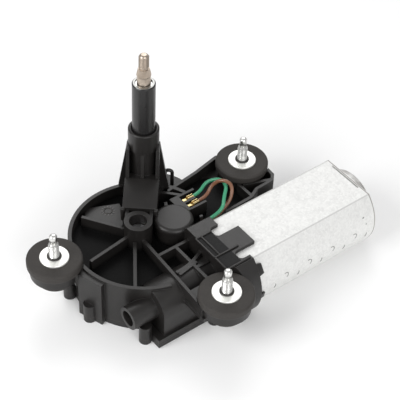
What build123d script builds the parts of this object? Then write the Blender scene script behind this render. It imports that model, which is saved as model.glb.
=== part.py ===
"""Rear-window wiper motor: geared drive in a ribbed moulded housing, with an upright oscillating spindle.

Frame: origin on the output spindle's axis, at the outer face of the bottom cover; +Z up along the
spindle; +X along the motor can towards its closed end. Millimetres.
"""
from build123d import *
from math import acos, atan2, cos, degrees, hypot, pi, radians, sin, sqrt, tan
import os

os.makedirs("parts", exist_ok=True)

# ---------------------------------------------------------------- driving dimensions
FIT = 0.05              # radial clearance of every running fit
SEAT = 0.08             # clearance between parts that are assembled and stay still
AXIAL_GAP = 0.30        # axial play between a moving part and its neighbour

WALL = 2.3              # moulded wall
RIB = 2.0               # moulded rib
COVER_T = 3.0           # bottom cover plate
GASKET_T = 0.8          # cover seal
DECK_T = 2.4            # floor that parts the ribbed recess from the gear chamber
DECK_TOP = 25.3
RIM_Z = 33.2            # top of the drum's rim and of the ribs

WHEEL_X, WHEEL_Y = -24.9, -29.4     # worm wheel axis
BOWL_X, BOWL_Y = -23.7, -32.7       # drum axis
BOWL_R = 42.8
LOBE_X, LOBE_Y = 4.0, -8.0          # chamber lobe round the spindle's lower end
LOBE_R = 20.0

MOTOR_Y, MOTOR_Z = -69.7, 19.2      # armature and worm axis
CAN_R = 26.2
CAN_FLAT = 19.2                     # half the height over the flats
CAN_WALL = 1.8
CAN_SHOULDER = 3.0      # how far the housing reaches in over the can's open end
CAN_FRONT = 4.4
CAN_BACK = 99.3
NOSE_R = 19.1
NOSE_X = 104.5
COLLAR_R = CAN_R + 3.0
COLLAR_X = 10.5                     # the housing grips the can as far as here
FLANGE_BACK = -6.0

MODULE = 1.0
WHEEL_TEETH = 62
PINION_TEETH = 19
SECTOR_TEETH = 21
SECTOR_CUT_TEETH = 8
ADDENDUM = 0.85
DEDENDUM = 1.20
WHEEL_Z0, WHEEL_Z1 = 14.6, 22.3
WORM_TURNS = 6
WORM_BORE_R = 10.6
WORM_HOUSING_R = 12.7

CRANK_THROW = 8.0
CONROD_LENGTH = 30.0
LINK_Z0, LINK_Z1 = 4.8, 7.8
GEAR_Z0, GEAR_Z1 = 8.1, 12.3

SPINDLE_R = 4.0
SPINDLE_BOTTOM = 4.2
CONE_R, CONE_TOP_R = 4.15, 3.2
CONE_Z0, CONE_Z1 = 112.6, 120.6
THREAD_R = 3.0
TIP_Z = 130.6
TUBE_R = 6.65
TUBE_BORE_R = 5.0
TUBE_Z0, TUBE_Z1 = 46.0, 110.5
BUSH_R = 6.4
TOWER_R = 8.0
COLLAR_TOWER_R = 9.0
COLLAR_Z0, COLLAR_Z1 = 66.8, 77.3
FIN_FOOT_R = 14.8

HUB_R, HUB_HOLE_R, HUB_TOP = 8.15, 5.1, 41.3
SHAFT_R = 4.0                       # wheel shaft and armature shaft
WHEEL_SHAFT_TOP = 34.6

GROMMETS = {"left": (-76.7, -22.5), "front": (-15.3, -98.5), "rear": (57.5, -20.7)}
EAR_Z0, EAR_Z1 = 26.0, 32.0
EAR_R = 14.2
GROMMET_R = 15.8
GROMMET_NECK_R = 9.5
GROMMET_TOP = 37.5
GROMMET_BOTTOM = 20.5
WASHER_R = 8.3
WASHER_T = 1.0
SLEEVE_R, SLEEVE_BORE_R = 4.9, 3.65
STUD_R, STUD_NECK_R, STUD_TIP_R = 3.0, 1.9, 2.25
STUD_THREAD_TOP = 48.6
STUD_TIP_Z = 55.1

TERMINAL_Z = 33.6
TERMINAL_YS = {"green": -25.2, "brown": -30.2}
TERMINAL_X0, TERMINAL_X1 = 9.4, 17.4
WIRE_R = 1.08

SCREWS = [(-67.8, -22.2), (-68.2, -43.4), (-52.2, -74.6), (-12.5, -86.2), (-33.4, 11.4), (24.6, -20.4)]
SCREW_BOSS_R = 3.6
SCREW_R = 1.5

# ---------------------------------------------------------------- derived dimensions
DECK_BOTTOM = DECK_TOP - DECK_T
HOUSING_Z0 = COVER_T + GASKET_T
SPINDLE_TO_WHEEL = hypot(WHEEL_X, WHEEL_Y)
TOWER_ANGLE = degrees(atan2(WHEEL_Y, WHEEL_X))
TOWER_U = Vector(WHEEL_X, WHEEL_Y, 0).normalized()
TOWER_PLANE = Plane(origin=(0, 0, 0), x_dir=TOWER_U, z_dir=TOWER_U.cross(Vector(0, 0, 1)))

WHEEL_R = MODULE * WHEEL_TEETH / 2
WORM_R = (WHEEL_Y - MOTOR_Y) - WHEEL_R
WORM_PITCH = pi * MODULE
LEAD = WORM_PITCH / (2 * pi * WORM_R)
PINION_R = MODULE * PINION_TEETH / 2
SECTOR_R = MODULE * SECTOR_TEETH / 2
LINK_LENGTH = PINION_R + SECTOR_R

# Crank linkage at mid stroke: crank square to the line of centres, link by the law of cosines.
PIN_ANGLE = radians(TOWER_ANGLE) - atan2(CRANK_THROW, SPINDLE_TO_WHEEL)
PIN_DISTANCE = hypot(SPINDLE_TO_WHEEL, CRANK_THROW)
CRANK_X = PIN_DISTANCE * cos(PIN_ANGLE)
CRANK_Y = PIN_DISTANCE * sin(PIN_ANGLE)
LINK_ANGLE = PIN_ANGLE + acos(
    (LINK_LENGTH**2 + PIN_DISTANCE**2 - CONROD_LENGTH**2) / (2 * LINK_LENGTH * PIN_DISTANCE)
)
LINK_X = LINK_LENGTH * cos(LINK_ANGLE)
LINK_Y = LINK_LENGTH * sin(LINK_ANGLE)


# ---------------------------------------------------------------- shared shapes
def add_z_round(centre, z_low, z_high, radius, mode=Mode.ADD):
    """Upright cylinder in the current part."""
    with BuildSketch(Plane.XY.offset(z_low)) as disc:
        with Locations(centre):
            Circle(radius)
    extrude(disc.sketch, amount=z_high - z_low, mode=mode)


def add_x_round(x_low, x_high, radius, mode=Mode.ADD):
    """Cylinder on the armature's axis in the current part."""
    with BuildSketch(Plane.YZ.offset(x_low)) as disc:
        with Locations((MOTOR_Y, MOTOR_Z)):
            Circle(radius)
    extrude(disc.sketch, amount=x_high - x_low, mode=mode)


def add_prism(outline, z_low, z_high, mode=Mode.ADD):
    """Upright prism over a plan outline in the current part."""
    with BuildSketch(Plane.XY.offset(z_low)) as plan:
        Polygon(*outline, align=None)
    extrude(plan.sketch, amount=z_high - z_low, mode=mode)


def add_rib(start, end, z_low, z_high, width=RIB, mode=Mode.ADD):
    """Upright straight rib between two plan points in the current part."""
    run = Vector(*end) - Vector(*start)
    middle = (Vector(*start) + Vector(*end)) / 2
    with BuildSketch(Plane.XY.offset(z_low)) as foot:
        with Locations((middle.X, middle.Y)):
            Rectangle(run.length, width, rotation=degrees(atan2(run.Y, run.X)))
    extrude(foot.sketch, amount=z_high - z_low, mode=mode)


def add_can_section(x_low, x_high, growth, mode=Mode.ADD):
    """Length of the can's round section with its flat top and bottom, grown by a margin."""
    with BuildSketch(Plane.YZ.offset(x_low)) as section:
        with Locations((MOTOR_Y, MOTOR_Z)):
            Circle(CAN_R + growth)
            Rectangle(2 * CAN_R + 9, 2 * (CAN_FLAT + growth), mode=Mode.INTERSECT)
    extrude(section.sketch, amount=x_high - x_low, mode=mode)


def toothed_disc(centre, z, pitch_r, teeth, first_angle, cut_teeth, backlash):
    """Plan of a spur gear: a root disc with straight-flanked teeth."""
    root_r = pitch_r - DEDENDUM
    tip_r = pitch_r + ADDENDUM
    half_pitch = MODULE * pi / 4 - backlash / 2
    half_tip = half_pitch - ADDENDUM * tan(radians(23))
    half_root = half_pitch + DEDENDUM * tan(radians(15))
    step = 360 / teeth
    with BuildSketch(Plane.XY.offset(z)) as plan:
        with Locations(centre):
            Circle(root_r)
            with PolarLocations(0, cut_teeth, start_angle=first_angle, angular_range=step * cut_teeth):
                Polygon(
                    (root_r - 0.4, -half_root),
                    (root_r, -half_root),
                    (pitch_r, -half_pitch),
                    (tip_r, -half_tip),
                    (tip_r, half_tip),
                    (pitch_r, half_pitch),
                    (root_r, half_root),
                    (root_r - 0.4, half_root),
                    align=None,
                )
    return plan.sketch


def finish(builder, name):
    """Label a sub-part and write its STEP file."""
    builder.part.label = name
    export_step(builder.part, f"parts/{name}.step")


def screw_web_end(centre):
    """Inner end of the web that ties a screw boss to the drum."""
    inwards = (Vector(BOWL_X, BOWL_Y) - Vector(*centre)).normalized()
    point = Vector(*centre) + inwards * SCREW_WEB
    return (point.X, point.Y)


def tower_xy(along, across):
    """Plan point at a distance from the spindle towards the wheel, and across that line."""
    side = TOWER_U.cross(Vector(0, 0, 1))
    point = TOWER_U * along + side * across
    return (point.X, point.Y)


# ---------------------------------------------------------------- gear housing
PLATE_NEAR, PLATE_FAR = 10.5, 29.3      # sloping roof between tower and hub
PLATE_NEAR_Z, PLATE_FAR_Z = 47.4, 42.0
PLATE_HALF = 9.7
DOME = (-5.1, -36.4)
DOME_R, DOME_TOP, DOME_LIP_Z = 11.6, 38.5, 34.5
FRONT_WEB = [(-30.7, -50), (-30.7, -98.5), (0.5, -98.5), (0.5, -50)]
REAR_WEB = [
    (8, -13),
    (31, -8.8),
    (50, -4.9),
    (70, -20),
    (69.4, -37),
    (65, -42),
    (52.4, -42.6),
    (45, -46.4),
    (8, -47.2),
]
BUTTRESS = [(-65.5, -51.5), (-70.8, -36.5), (-62, -27), (-56, -48)]
EAR_BRIDGES = {
    "left": [(-68, -13.5), (-60, -14), (-60, -40), (-72, -36)],
    "front": [(-29.3, -97), (-29.3, -82), (1.0, -82), (-1.3, -97)],
    "rear": [(44, -15), (51, -6.2), (68, -30), (58, -36)],
}
RECESS_RIBS = [
    ((-26.6, -37.0), (-29.7, -97.0)),
    ((-26.7, -51.6), (12.0, -51.6)),
    ((-14.9, -52.0), (-14.9, -88.0)),
    ((-3.4, -52.0), (-3.4, -88.0)),
    ((0.0, -59.0), (0.0, -69.0)),
    ((-25.8, -70.0), (-12.0, -67.6)),
    ((-14.0, -71.0), (-6.5, -71.0)),
    ((-3.0, -83.7), (8.0, -83.7)),
    ((-31.5, -35.5), (-51.5, -64.0)),
    ((-32.5, -29.6), (-60.0, -33.1)),
    ((-30.0, -23.0), (-44.6, -1.2)),
    ((2.6, -9.0), (13.0, -20.5)),
    ((1.6, -19.5), (-2.0, -26.5)),
]
REAR_RIBS = [
    ((48.0, -34.0), (64.0, -40.4)),
    ((46.0, -32.0), (46.0, -44.5)),
]
REAR_WALLS = [
    [(9.0, -12.6), (31.0, -9.7), (49.6, -5.9)],
    [(68.2, -31.0), (67.7, -37.6), (64.6, -41.0), (52.2, -41.6), (45.0, -45.2), (26.6, -46.2)],
]
SCREW_WEB = 7.0                     # how far a screw boss's web runs inwards
TERMINAL_WALLS = [
    ((8.0, -21.6), (20.5, -21.6)),
    ((8.0, -33.9), (20.5, -33.9)),
    ((9.0, -27.7), (17.0, -27.7)),
]
TERMINAL_BLOCK = [(3.4, -34.7), (9.2, -34.7), (9.2, -20.8), (3.4, -20.8)]
TERMINAL_SHELF = [(8.0, -34.0), (17.6, -34.0), (17.6, -21.6), (8.0, -21.6)]
TERMINAL_HALF = 1.55
SECTOR_STEP = [(-29.0, -18.0), (-43.4, -0.6), (-36.0, 7.0), (-18.0, -1.0), (-22.0, -14.0)]
SECTOR_STEP_Z = 28.4
CAN_SIDE = MOTOR_Y + CAN_R          # the can's side that faces the wires
WIRE_GATE_Y0, WIRE_GATE_Y1 = CAN_SIDE - 3.4, CAN_SIDE + 2.1     # gap in the arc rib for the wires
LOW_SIDE = [(-34, -44), (-34, -90), (40, -90), (40, -21), (12, -21)]
ARC_RIB_R, ARC_RIB_START, ARC_RIB_SWEEP = 38.3, -92, 76
WORM_END = -45.0
WORM_SKIRT = [
    (WORM_END, MOTOR_Y - WORM_HOUSING_R),
    (FLANGE_BACK + 1, MOTOR_Y - WORM_HOUSING_R),
    (FLANGE_BACK + 1, MOTOR_Y + WORM_HOUSING_R),
    (WORM_END, MOTOR_Y + WORM_HOUSING_R),
]
WORM_SLOT = [
    (WORM_END + 3, MOTOR_Y - WORM_BORE_R),
    (FLANGE_BACK, MOTOR_Y - WORM_BORE_R),
    (FLANGE_BACK, MOTOR_Y + WORM_BORE_R),
    (WORM_END + 3, MOTOR_Y + WORM_BORE_R),
]
COVER_LEDGE = [(-49.6, -84.0), (-49.6, -68.0), (-8.0, -60.0), (-8.0, -84.0)]
COLLAR_TOP = MOTOR_Z + CAN_FLAT + WALL
THRUST_BOSS_X, THRUST_BOSS_R, THRUST_BORE_R = -60.5, 7.0, 4.75
FRONT_WALLS = (-8.6, 0.0, 8.6)
ROOF_OUTLINE = [
    (6, DECK_TOP),
    (PLATE_FAR, DECK_TOP),
    (PLATE_FAR, PLATE_FAR_Z),
    (PLATE_NEAR, PLATE_NEAR_Z),
    (6, PLATE_NEAR_Z),
]
ROOF_HOLLOW = [
    (TOWER_R + 4.5, DECK_BOTTOM - 1),
    (PLATE_FAR - RIB, DECK_BOTTOM - 1),
    (PLATE_FAR - RIB, PLATE_FAR_Z - RIB),
    (TOWER_R + 4.5, PLATE_NEAR_Z - RIB - 0.6),
]
DOME_FILLET = 2.4
SCREW_BOSS_H = 9.0
GROMMET_FOOT_R = 11.0
BALL_OUT_R = 11.0
TAB_Y0, TAB_Y1, TAB_X0, TAB_X1 = -79.7, -64.9, 8.0, 19.2
TAB_T = 2.2
NOTCH_X = 4.0
NOTCHES = [(-64.9, -57.4), (-86.2, -79.7)]
NOSE_BUSH_R = 6.5
NOSE_BUSH_X0, NOSE_BUSH_X1 = -45.0, -39.5
TUBE_ROOT_R, TUBE_ROOT_Z1 = 6.9, 76.7    # part of the tube gripped by the tower
WHEEL_BUSH_Z1 = 33.4
LOWER_BUSH_Z1 = 38.0
WHEEL_BUSH_R = 6.0
CLIP_Z, CLIP_T = 109.5, 0.9
PINION_HUB_R = 6.0
BACKLASH = 0.30
LINK_EYE_R = 6.0
PIVOT_R = 2.5
CONROD_WIDTH, CONROD_EYE_R = 7.0, 5.0
CRANK_PIN_R = 2.5
SCREW_HEAD_R = 2.9
BALL_X0, BALL_X1 = -5.0, 1.0
WORM_HALF = 11.0
SHAFT_X0, SHAFT_X1 = -47.0, 100.6
CORE_X0, CORE_X1, CORE_SLOTS = 38.0, 78.0, 10
ARMATURE_R = 16.0
WINDING_X = 9.0
COMM_X0, COMM_X1, COMM_R = 13.0, 28.0, 9.0
PLATE_X0, PLATE_X1 = 9.5, 12.0
BRUSH_X1 = 20.0
BRUSH_W, BRUSH_H, HOLDER_W, HOLDER_H = 7.0, 6.0, 8.0, 9.6
BRUSH_Y0 = 9.2
MAGNET_X0, MAGNET_X1, MAGNET_HALF = 32.0, 84.0, 15.5
REAR_BUSH_R, REAR_BUSH_X0 = 7.0, 94.5
STUD_BASE_Z, STUD_FLANGE_R = 18.0, 8.0
STUD_SHANK_R, STUD_SHANK_Z = 3.5, 38.3

with BuildPart() as gear_housing:
    # drum, spindle lobe, arm webs and the flange that carries the can
    add_z_round((BOWL_X, BOWL_Y), HOUSING_Z0, RIM_Z, BOWL_R)
    add_prism(LOW_SIDE, DECK_TOP, RIM_Z, mode=Mode.SUBTRACT)
    add_z_round((LOBE_X, LOBE_Y), HOUSING_Z0, DECK_TOP, LOBE_R + WALL)
    add_prism(FRONT_WEB, DECK_BOTTOM, DECK_TOP)
    add_prism(REAR_WEB, DECK_BOTTOM, DECK_TOP)
    add_prism(WORM_SKIRT, HOUSING_Z0, MOTOR_Z)
    add_prism(COVER_LEDGE, HOUSING_Z0, HOUSING_Z0 + WALL)
    # mounting ears, their bridges and the buttress under the left one
    for ear, centre in GROMMETS.items():
        add_z_round(centre, EAR_Z0, EAR_Z1, EAR_R)
        add_prism(EAR_BRIDGES[ear], DECK_BOTTOM, EAR_Z1)
    add_prism(BUTTRESS, HOUSING_Z0, EAR_Z1)
    for centre in SCREWS:
        add_z_round(centre, HOUSING_Z0, HOUSING_Z0 + SCREW_BOSS_H, SCREW_BOSS_R)
        add_rib(centre, screw_web_end(centre), HOUSING_Z0, HOUSING_Z0 + SCREW_BOSS_H, width=SCREW_BOSS_R)
    # ribbed recess inside the rim, with the worm housing rising through its floor
    add_z_round((BOWL_X, BOWL_Y), DECK_TOP, RIM_Z, BOWL_R - WALL, mode=Mode.SUBTRACT)
    add_x_round(WORM_END, FLANGE_BACK + 1, WORM_HOUSING_R)
    for start, end in RECESS_RIBS + REAR_RIBS:
        add_rib(start, end, DECK_TOP, RIM_Z)
    for corners in REAR_WALLS:
        for start, end in zip(corners, corners[1:]):
            add_rib(start, end, DECK_BOTTOM, RIM_Z)
        for corner in corners:
            add_z_round(corner, DECK_BOTTOM, RIM_Z, RIB / 2)
    with BuildSketch(Plane.XY.offset(DECK_TOP)) as arc_rib:
        with BuildLine():
            CenterArc((WHEEL_X, WHEEL_Y), ARC_RIB_R, ARC_RIB_START, ARC_RIB_SWEEP)
        trace(line_width=RIB)
    extrude(arc_rib.sketch, amount=RIM_Z - DECK_TOP)
    add_prism(
        [
            (COLLAR_X - 1, WIRE_GATE_Y0),
            (COLLAR_X + 4, WIRE_GATE_Y0),
            (COLLAR_X + 4, WIRE_GATE_Y1),
            (COLLAR_X - 1, WIRE_GATE_Y1),
        ],
        DECK_TOP,
        RIM_Z + 1,
        mode=Mode.SUBTRACT,
    )
    add_prism(SECTOR_STEP, DECK_TOP, SECTOR_STEP_Z)
    # hub of the worm wheel, contact dome and terminal block
    add_z_round((WHEEL_X, WHEEL_Y), DECK_BOTTOM, HUB_TOP, HUB_R)
    with BuildSketch(Plane(origin=(*DOME, 0), x_dir=(1, 0, 0), z_dir=(0, -1, 0))) as dome:
        Polygon(
            (0, DECK_TOP - 1),
            (DOME_R - 0.8, DECK_TOP - 1),
            (DOME_R - 0.8, DOME_LIP_Z),
            (DOME_R, DOME_LIP_Z),
            (DOME_R, DOME_TOP),
            (0, DOME_TOP),
            align=None,
        )
        fillet(dome.vertices().group_by(Axis.Y)[-1].sort_by(Axis.X)[-1], radius=DOME_FILLET)
    revolve(dome.sketch, axis=Axis((*DOME, 0), (0, 0, 1)))
    add_prism(TERMINAL_BLOCK, DECK_TOP, TERMINAL_Z + 1.6)
    add_prism(TERMINAL_SHELF, DECK_TOP, TERMINAL_Z - TERMINAL_HALF)
    for start, end in TERMINAL_WALLS:
        add_rib(start, end, DECK_TOP, TERMINAL_Z + 1.4, width=1.6)
    # sloping roof between the hub and the tower
    with BuildSketch(TOWER_PLANE) as roof:
        Polygon(*ROOF_OUTLINE, align=None)
    extrude(roof.sketch, amount=PLATE_HALF, both=True)
    for across in (-0.72 * PLATE_HALF, 0.72 * PLATE_HALF):
        wall_start = tower_xy(PLATE_FAR - 1, across)
        add_rib(wall_start, tower_xy(SPINDLE_TO_WHEEL - 3, across), DECK_TOP, HUB_TOP - 1)
    # tower: boss, collar, side and back fins, front walls
    add_z_round((0, 0), DECK_BOTTOM, COLLAR_Z0, TOWER_R)
    add_z_round((0, 0), COLLAR_Z0 - 2, COLLAR_Z1, COLLAR_TOWER_R)
    with BuildSketch(TOWER_PLANE) as back_fin:
        Polygon(
            (0, DECK_BOTTOM),
            (-FIN_FOOT_R, DECK_BOTTOM),
            (-FIN_FOOT_R, RIM_Z),
            (-COLLAR_TOWER_R - 0.4, COLLAR_Z0),
            (0, COLLAR_Z0),
            align=None,
        )
    extrude(back_fin.sketch, amount=RIB / 2 + 0.2, both=True)
    with BuildSketch(Plane(origin=(0, 0, 0), x_dir=TOWER_PLANE.z_dir, z_dir=-TOWER_PLANE.x_dir)) as side_fins:
        Polygon(
            (-FIN_FOOT_R, DECK_BOTTOM),
            (-FIN_FOOT_R, RIM_Z),
            (-COLLAR_TOWER_R - 0.4, COLLAR_Z0),
            (COLLAR_TOWER_R + 0.4, COLLAR_Z0),
            (FIN_FOOT_R, RIM_Z),
            (FIN_FOOT_R, DECK_BOTTOM),
            align=None,
        )
    extrude(side_fins.sketch, amount=RIB / 2 + 0.2, both=True)
    for across in FRONT_WALLS:
        wall_plane = TOWER_PLANE.offset(across - RIB / 2)
        with BuildSketch(wall_plane) as front_wall:
            Polygon(
                (0, RIM_Z),
                (PLATE_NEAR, RIM_Z),
                (PLATE_NEAR, PLATE_NEAR_Z),
                (7.4, COLLAR_Z0),
                (0, COLLAR_Z0),
                align=None,
            )
        extrude(front_wall.sketch, amount=RIB)
    add_z_round((0, 0), DECK_BOTTOM, RIM_Z, TOWER_R + 4)
    # thrust boss at the worm's blind end, and the clearances
    add_x_round(THRUST_BOSS_X, WORM_END + 1, THRUST_BOSS_R)
    # gear chamber, opening downwards
    add_z_round((BOWL_X, BOWL_Y), HOUSING_Z0, DECK_BOTTOM, BOWL_R - WALL, mode=Mode.SUBTRACT)
    add_z_round((LOBE_X, LOBE_Y), HOUSING_Z0, DECK_BOTTOM, LOBE_R, mode=Mode.SUBTRACT)
    with BuildSketch(TOWER_PLANE) as roof_hollow:
        Polygon(*ROOF_HOLLOW, align=None)
    extrude(roof_hollow.sketch, amount=PLATE_HALF - RIB, both=True, mode=Mode.SUBTRACT)
    # flange and collar that carry the motor's can, cleared for the worm wheel's rim
    with BuildSketch(Plane.YZ.offset(FLANGE_BACK)) as flange:
        with Locations((MOTOR_Y, MOTOR_Z)):
            Circle(COLLAR_R)
        with Locations((MOTOR_Y, (HOUSING_Z0 + COLLAR_TOP) / 2)):
            Rectangle(3 * COLLAR_R, COLLAR_TOP - HOUSING_Z0, mode=Mode.INTERSECT)
    extrude(flange.sketch, amount=COLLAR_X - FLANGE_BACK)
    add_z_round(
        (WHEEL_X, WHEEL_Y), WHEEL_Z0 - 1, DECK_BOTTOM, WHEEL_R + ADDENDUM + AXIAL_GAP, mode=Mode.SUBTRACT
    )
    add_x_round(WORM_END + 3, FLANGE_BACK + 1, WORM_BORE_R, mode=Mode.SUBTRACT)
    add_prism(WORM_SLOT, HOUSING_Z0, MOTOR_Z, mode=Mode.SUBTRACT)
    add_can_section(COLLAR_X, NOSE_X + 5, 0.8, mode=Mode.SUBTRACT)
    for centre in GROMMETS.values():
        add_z_round(centre, EAR_Z1, EAR_Z1 + 12, GROMMET_R + AXIAL_GAP, mode=Mode.SUBTRACT)
        add_z_round(centre, HOUSING_Z0 + 8, EAR_Z0, GROMMET_FOOT_R + AXIAL_GAP, mode=Mode.SUBTRACT)
        add_z_round(centre, EAR_Z0 - 1, EAR_Z1 + 1, GROMMET_NECK_R + SEAT, mode=Mode.SUBTRACT)
    # seats and bores
    add_x_round(FLANGE_BACK - 1, CAN_FRONT + 1, BALL_OUT_R + SEAT, mode=Mode.SUBTRACT)
    add_can_section(FLANGE_BACK + 4, CAN_FRONT + 1, -CAN_SHOULDER, mode=Mode.SUBTRACT)
    with BuildSketch(Plane.YZ.offset(FLANGE_BACK)) as bearing_boss:
        with Locations((MOTOR_Y, MOTOR_Z)):
            Circle(BALL_OUT_R + WALL)
            Circle(BALL_OUT_R + SEAT, mode=Mode.SUBTRACT)
    extrude(bearing_boss.sketch, amount=BALL_X1 - FLANGE_BACK)
    add_x_round(FLANGE_BACK - 1, BALL_X0, WORM_BORE_R, mode=Mode.SUBTRACT)
    add_can_section(CAN_FRONT, COLLAR_X + 1, SEAT, mode=Mode.SUBTRACT)
    add_x_round(NOSE_BUSH_X0, WORM_END + 4, NOSE_BUSH_R + SEAT, mode=Mode.SUBTRACT)
    add_x_round(THRUST_BOSS_X - 1, WORM_END + 1, THRUST_BORE_R, mode=Mode.SUBTRACT)
    wheel_seat_z1 = WHEEL_BUSH_Z1 + SEAT
    add_z_round((WHEEL_X, WHEEL_Y), DECK_BOTTOM - 1, wheel_seat_z1, WHEEL_BUSH_R + SEAT, mode=Mode.SUBTRACT)
    add_z_round((WHEEL_X, WHEEL_Y), WHEEL_BUSH_Z1, HUB_TOP + 1, HUB_HOLE_R, mode=Mode.SUBTRACT)
    add_z_round((0, 0), DECK_BOTTOM - 1, LOWER_BUSH_Z1, BUSH_R + SEAT, mode=Mode.SUBTRACT)
    add_z_round((0, 0), LOWER_BUSH_Z1 - 1, TUBE_Z0, TUBE_BORE_R, mode=Mode.SUBTRACT)
    add_z_round((0, 0), TUBE_Z0, COLLAR_Z1 + 1, TUBE_ROOT_R + SEAT, mode=Mode.SUBTRACT)
    collar_mouth = gear_housing.edges().filter_by(GeomType.CIRCLE).group_by(Axis.Z)[-1]
    chamfer(collar_mouth.sort_by(SortBy.RADIUS)[0], length=1.2)
    # curved notches over the can, the tab between them and the terminal slots
    for y_low, y_high in NOTCHES:
        with BuildSketch(Plane.XY.offset(MOTOR_Z + 13)) as notch:
            with Locations(((NOTCH_X + COLLAR_X + 2) / 2, (y_low + y_high) / 2)):
                Rectangle(COLLAR_X + 2 - NOTCH_X, y_high - y_low)
            fillet(notch.vertices().group_by(Axis.X)[0], radius=2.6)
        extrude(notch.sketch, amount=COLLAR_TOP, mode=Mode.SUBTRACT)
    add_prism(
        [(TAB_X0, TAB_Y0), (TAB_X1, TAB_Y0), (TAB_X1, TAB_Y1), (TAB_X0, TAB_Y1)],
        MOTOR_Z + CAN_FLAT + SEAT,
        MOTOR_Z + CAN_FLAT + SEAT + TAB_T,
    )
    for y in TERMINAL_YS.values():
        add_prism(
            [
                (TERMINAL_X0 - SEAT, y - TERMINAL_HALF),
                (TERMINAL_X0 + 1, y - TERMINAL_HALF),
                (TERMINAL_X0 + 1, y + TERMINAL_HALF),
                (TERMINAL_X0 - SEAT, y + TERMINAL_HALF),
            ],
            TERMINAL_Z - TERMINAL_HALF,
            TERMINAL_Z + 3,
            mode=Mode.SUBTRACT,
        )
    for centre in SCREWS:
        add_z_round(centre, HOUSING_Z0, HOUSING_Z0 + SCREW_BOSS_H - 1, SCREW_R + SEAT, mode=Mode.SUBTRACT)
finish(gear_housing, "gear_housing")

# ---------------------------------------------------------------- bottom cover, seal and screws
CAN_GAP = [
    (CAN_FRONT - 1.0, MOTOR_Y - COLLAR_R),
    (COLLAR_X + 20, MOTOR_Y - COLLAR_R),
    (COLLAR_X + 20, MOTOR_Y + CAN_R + 1.0),
    (CAN_FRONT - 1.0, MOTOR_Y + CAN_R + 1.0),
]


def cover_plan(z, growth=0.0):
    """Plan of the cover's flange at a height, before its holes."""
    with BuildSketch(Plane.XY.offset(z)) as plan:
        with Locations((BOWL_X, BOWL_Y)):
            Circle(BOWL_R + growth)
        with Locations((LOBE_X, LOBE_Y)):
            Circle(LOBE_R + WALL + growth)
        Polygon(*COVER_LEDGE, align=None)
        Polygon(*BUTTRESS, align=None)
        for centre in SCREWS:
            with Locations(centre):
                Circle(SCREW_BOSS_R)
            web_end = screw_web_end(centre)
            middle = (Vector(*centre) + Vector(*web_end)) / 2
            with Locations((middle.X, middle.Y)):
                angle = degrees(atan2(centre[1] - web_end[1], centre[0] - web_end[0]))
                Rectangle(SCREW_WEB, SCREW_BOSS_R, rotation=angle)
        Polygon(*CAN_GAP, align=None, mode=Mode.SUBTRACT)
    return plan.sketch


with BuildPart() as bottom_cover:
    extrude(cover_plan(0), amount=COVER_T)
    for centre in SCREWS:
        with BuildSketch(Plane.XY) as sink:
            with Locations(centre):
                Circle(SCREW_HEAD_R)
        extrude(sink.sketch, amount=SCREW_HEAD_R - SCREW_R - SEAT, taper=45, mode=Mode.SUBTRACT)
        add_z_round(centre, 0, COVER_T, SCREW_R + SEAT, mode=Mode.SUBTRACT)
finish(bottom_cover, "bottom_cover")

with BuildPart() as cover_seal:
    extrude(cover_plan(COVER_T), amount=GASKET_T)
    add_z_round((BOWL_X, BOWL_Y), COVER_T, HOUSING_Z0, BOWL_R - WALL, mode=Mode.SUBTRACT)
    add_z_round((LOBE_X, LOBE_Y), COVER_T, HOUSING_Z0, LOBE_R, mode=Mode.SUBTRACT)
    add_prism(WORM_SLOT, COVER_T, HOUSING_Z0, mode=Mode.SUBTRACT)
    for centre in SCREWS:
        add_z_round(centre, COVER_T, HOUSING_Z0, SCREW_R + 0.4, mode=Mode.SUBTRACT)
finish(cover_seal, "cover_seal")

with BuildPart() as cover_screws:
    for centre in SCREWS:
        add_z_round(centre, 0.2, HOUSING_Z0 + SCREW_BOSS_H - 2, SCREW_R)
        with BuildSketch(Plane.XY.offset(0.2)) as head:
            with Locations(centre):
                Circle(SCREW_HEAD_R - 0.35)
        extrude(head.sketch, amount=SCREW_HEAD_R - 0.35 - SCREW_R, taper=44.9)
finish(cover_screws, "cover_screws")

# ---------------------------------------------------------------- output spindle and its bearings
with BuildPart() as spindle_tube:
    add_z_round((0, 0), TUBE_Z0, TUBE_Z1, TUBE_R)
    add_z_round((0, 0), TUBE_Z0, TUBE_ROOT_Z1, TUBE_ROOT_R)
    add_z_round((0, 0), TUBE_Z0, TUBE_Z1, TUBE_BORE_R, mode=Mode.SUBTRACT)
    tube_mouth = spindle_tube.edges().filter_by(GeomType.CIRCLE).group_by(Axis.Z)[-1]
    chamfer(tube_mouth.sort_by(SortBy.RADIUS)[-1], length=0.6)
finish(spindle_tube, "spindle_tube")

for name, z_low, z_high, radius in (
    ("lower_bush", DECK_BOTTOM, LOWER_BUSH_Z1, BUSH_R),
    ("upper_bush", TUBE_Z1 - 13.0, TUBE_Z1 - 1.6, TUBE_BORE_R - SEAT),
):
    with BuildPart() as bush:
        add_z_round((0, 0), z_low, z_high, radius)
        add_z_round((0, 0), z_low, z_high, SPINDLE_R + FIT, mode=Mode.SUBTRACT)
    finish(bush, name)

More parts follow.
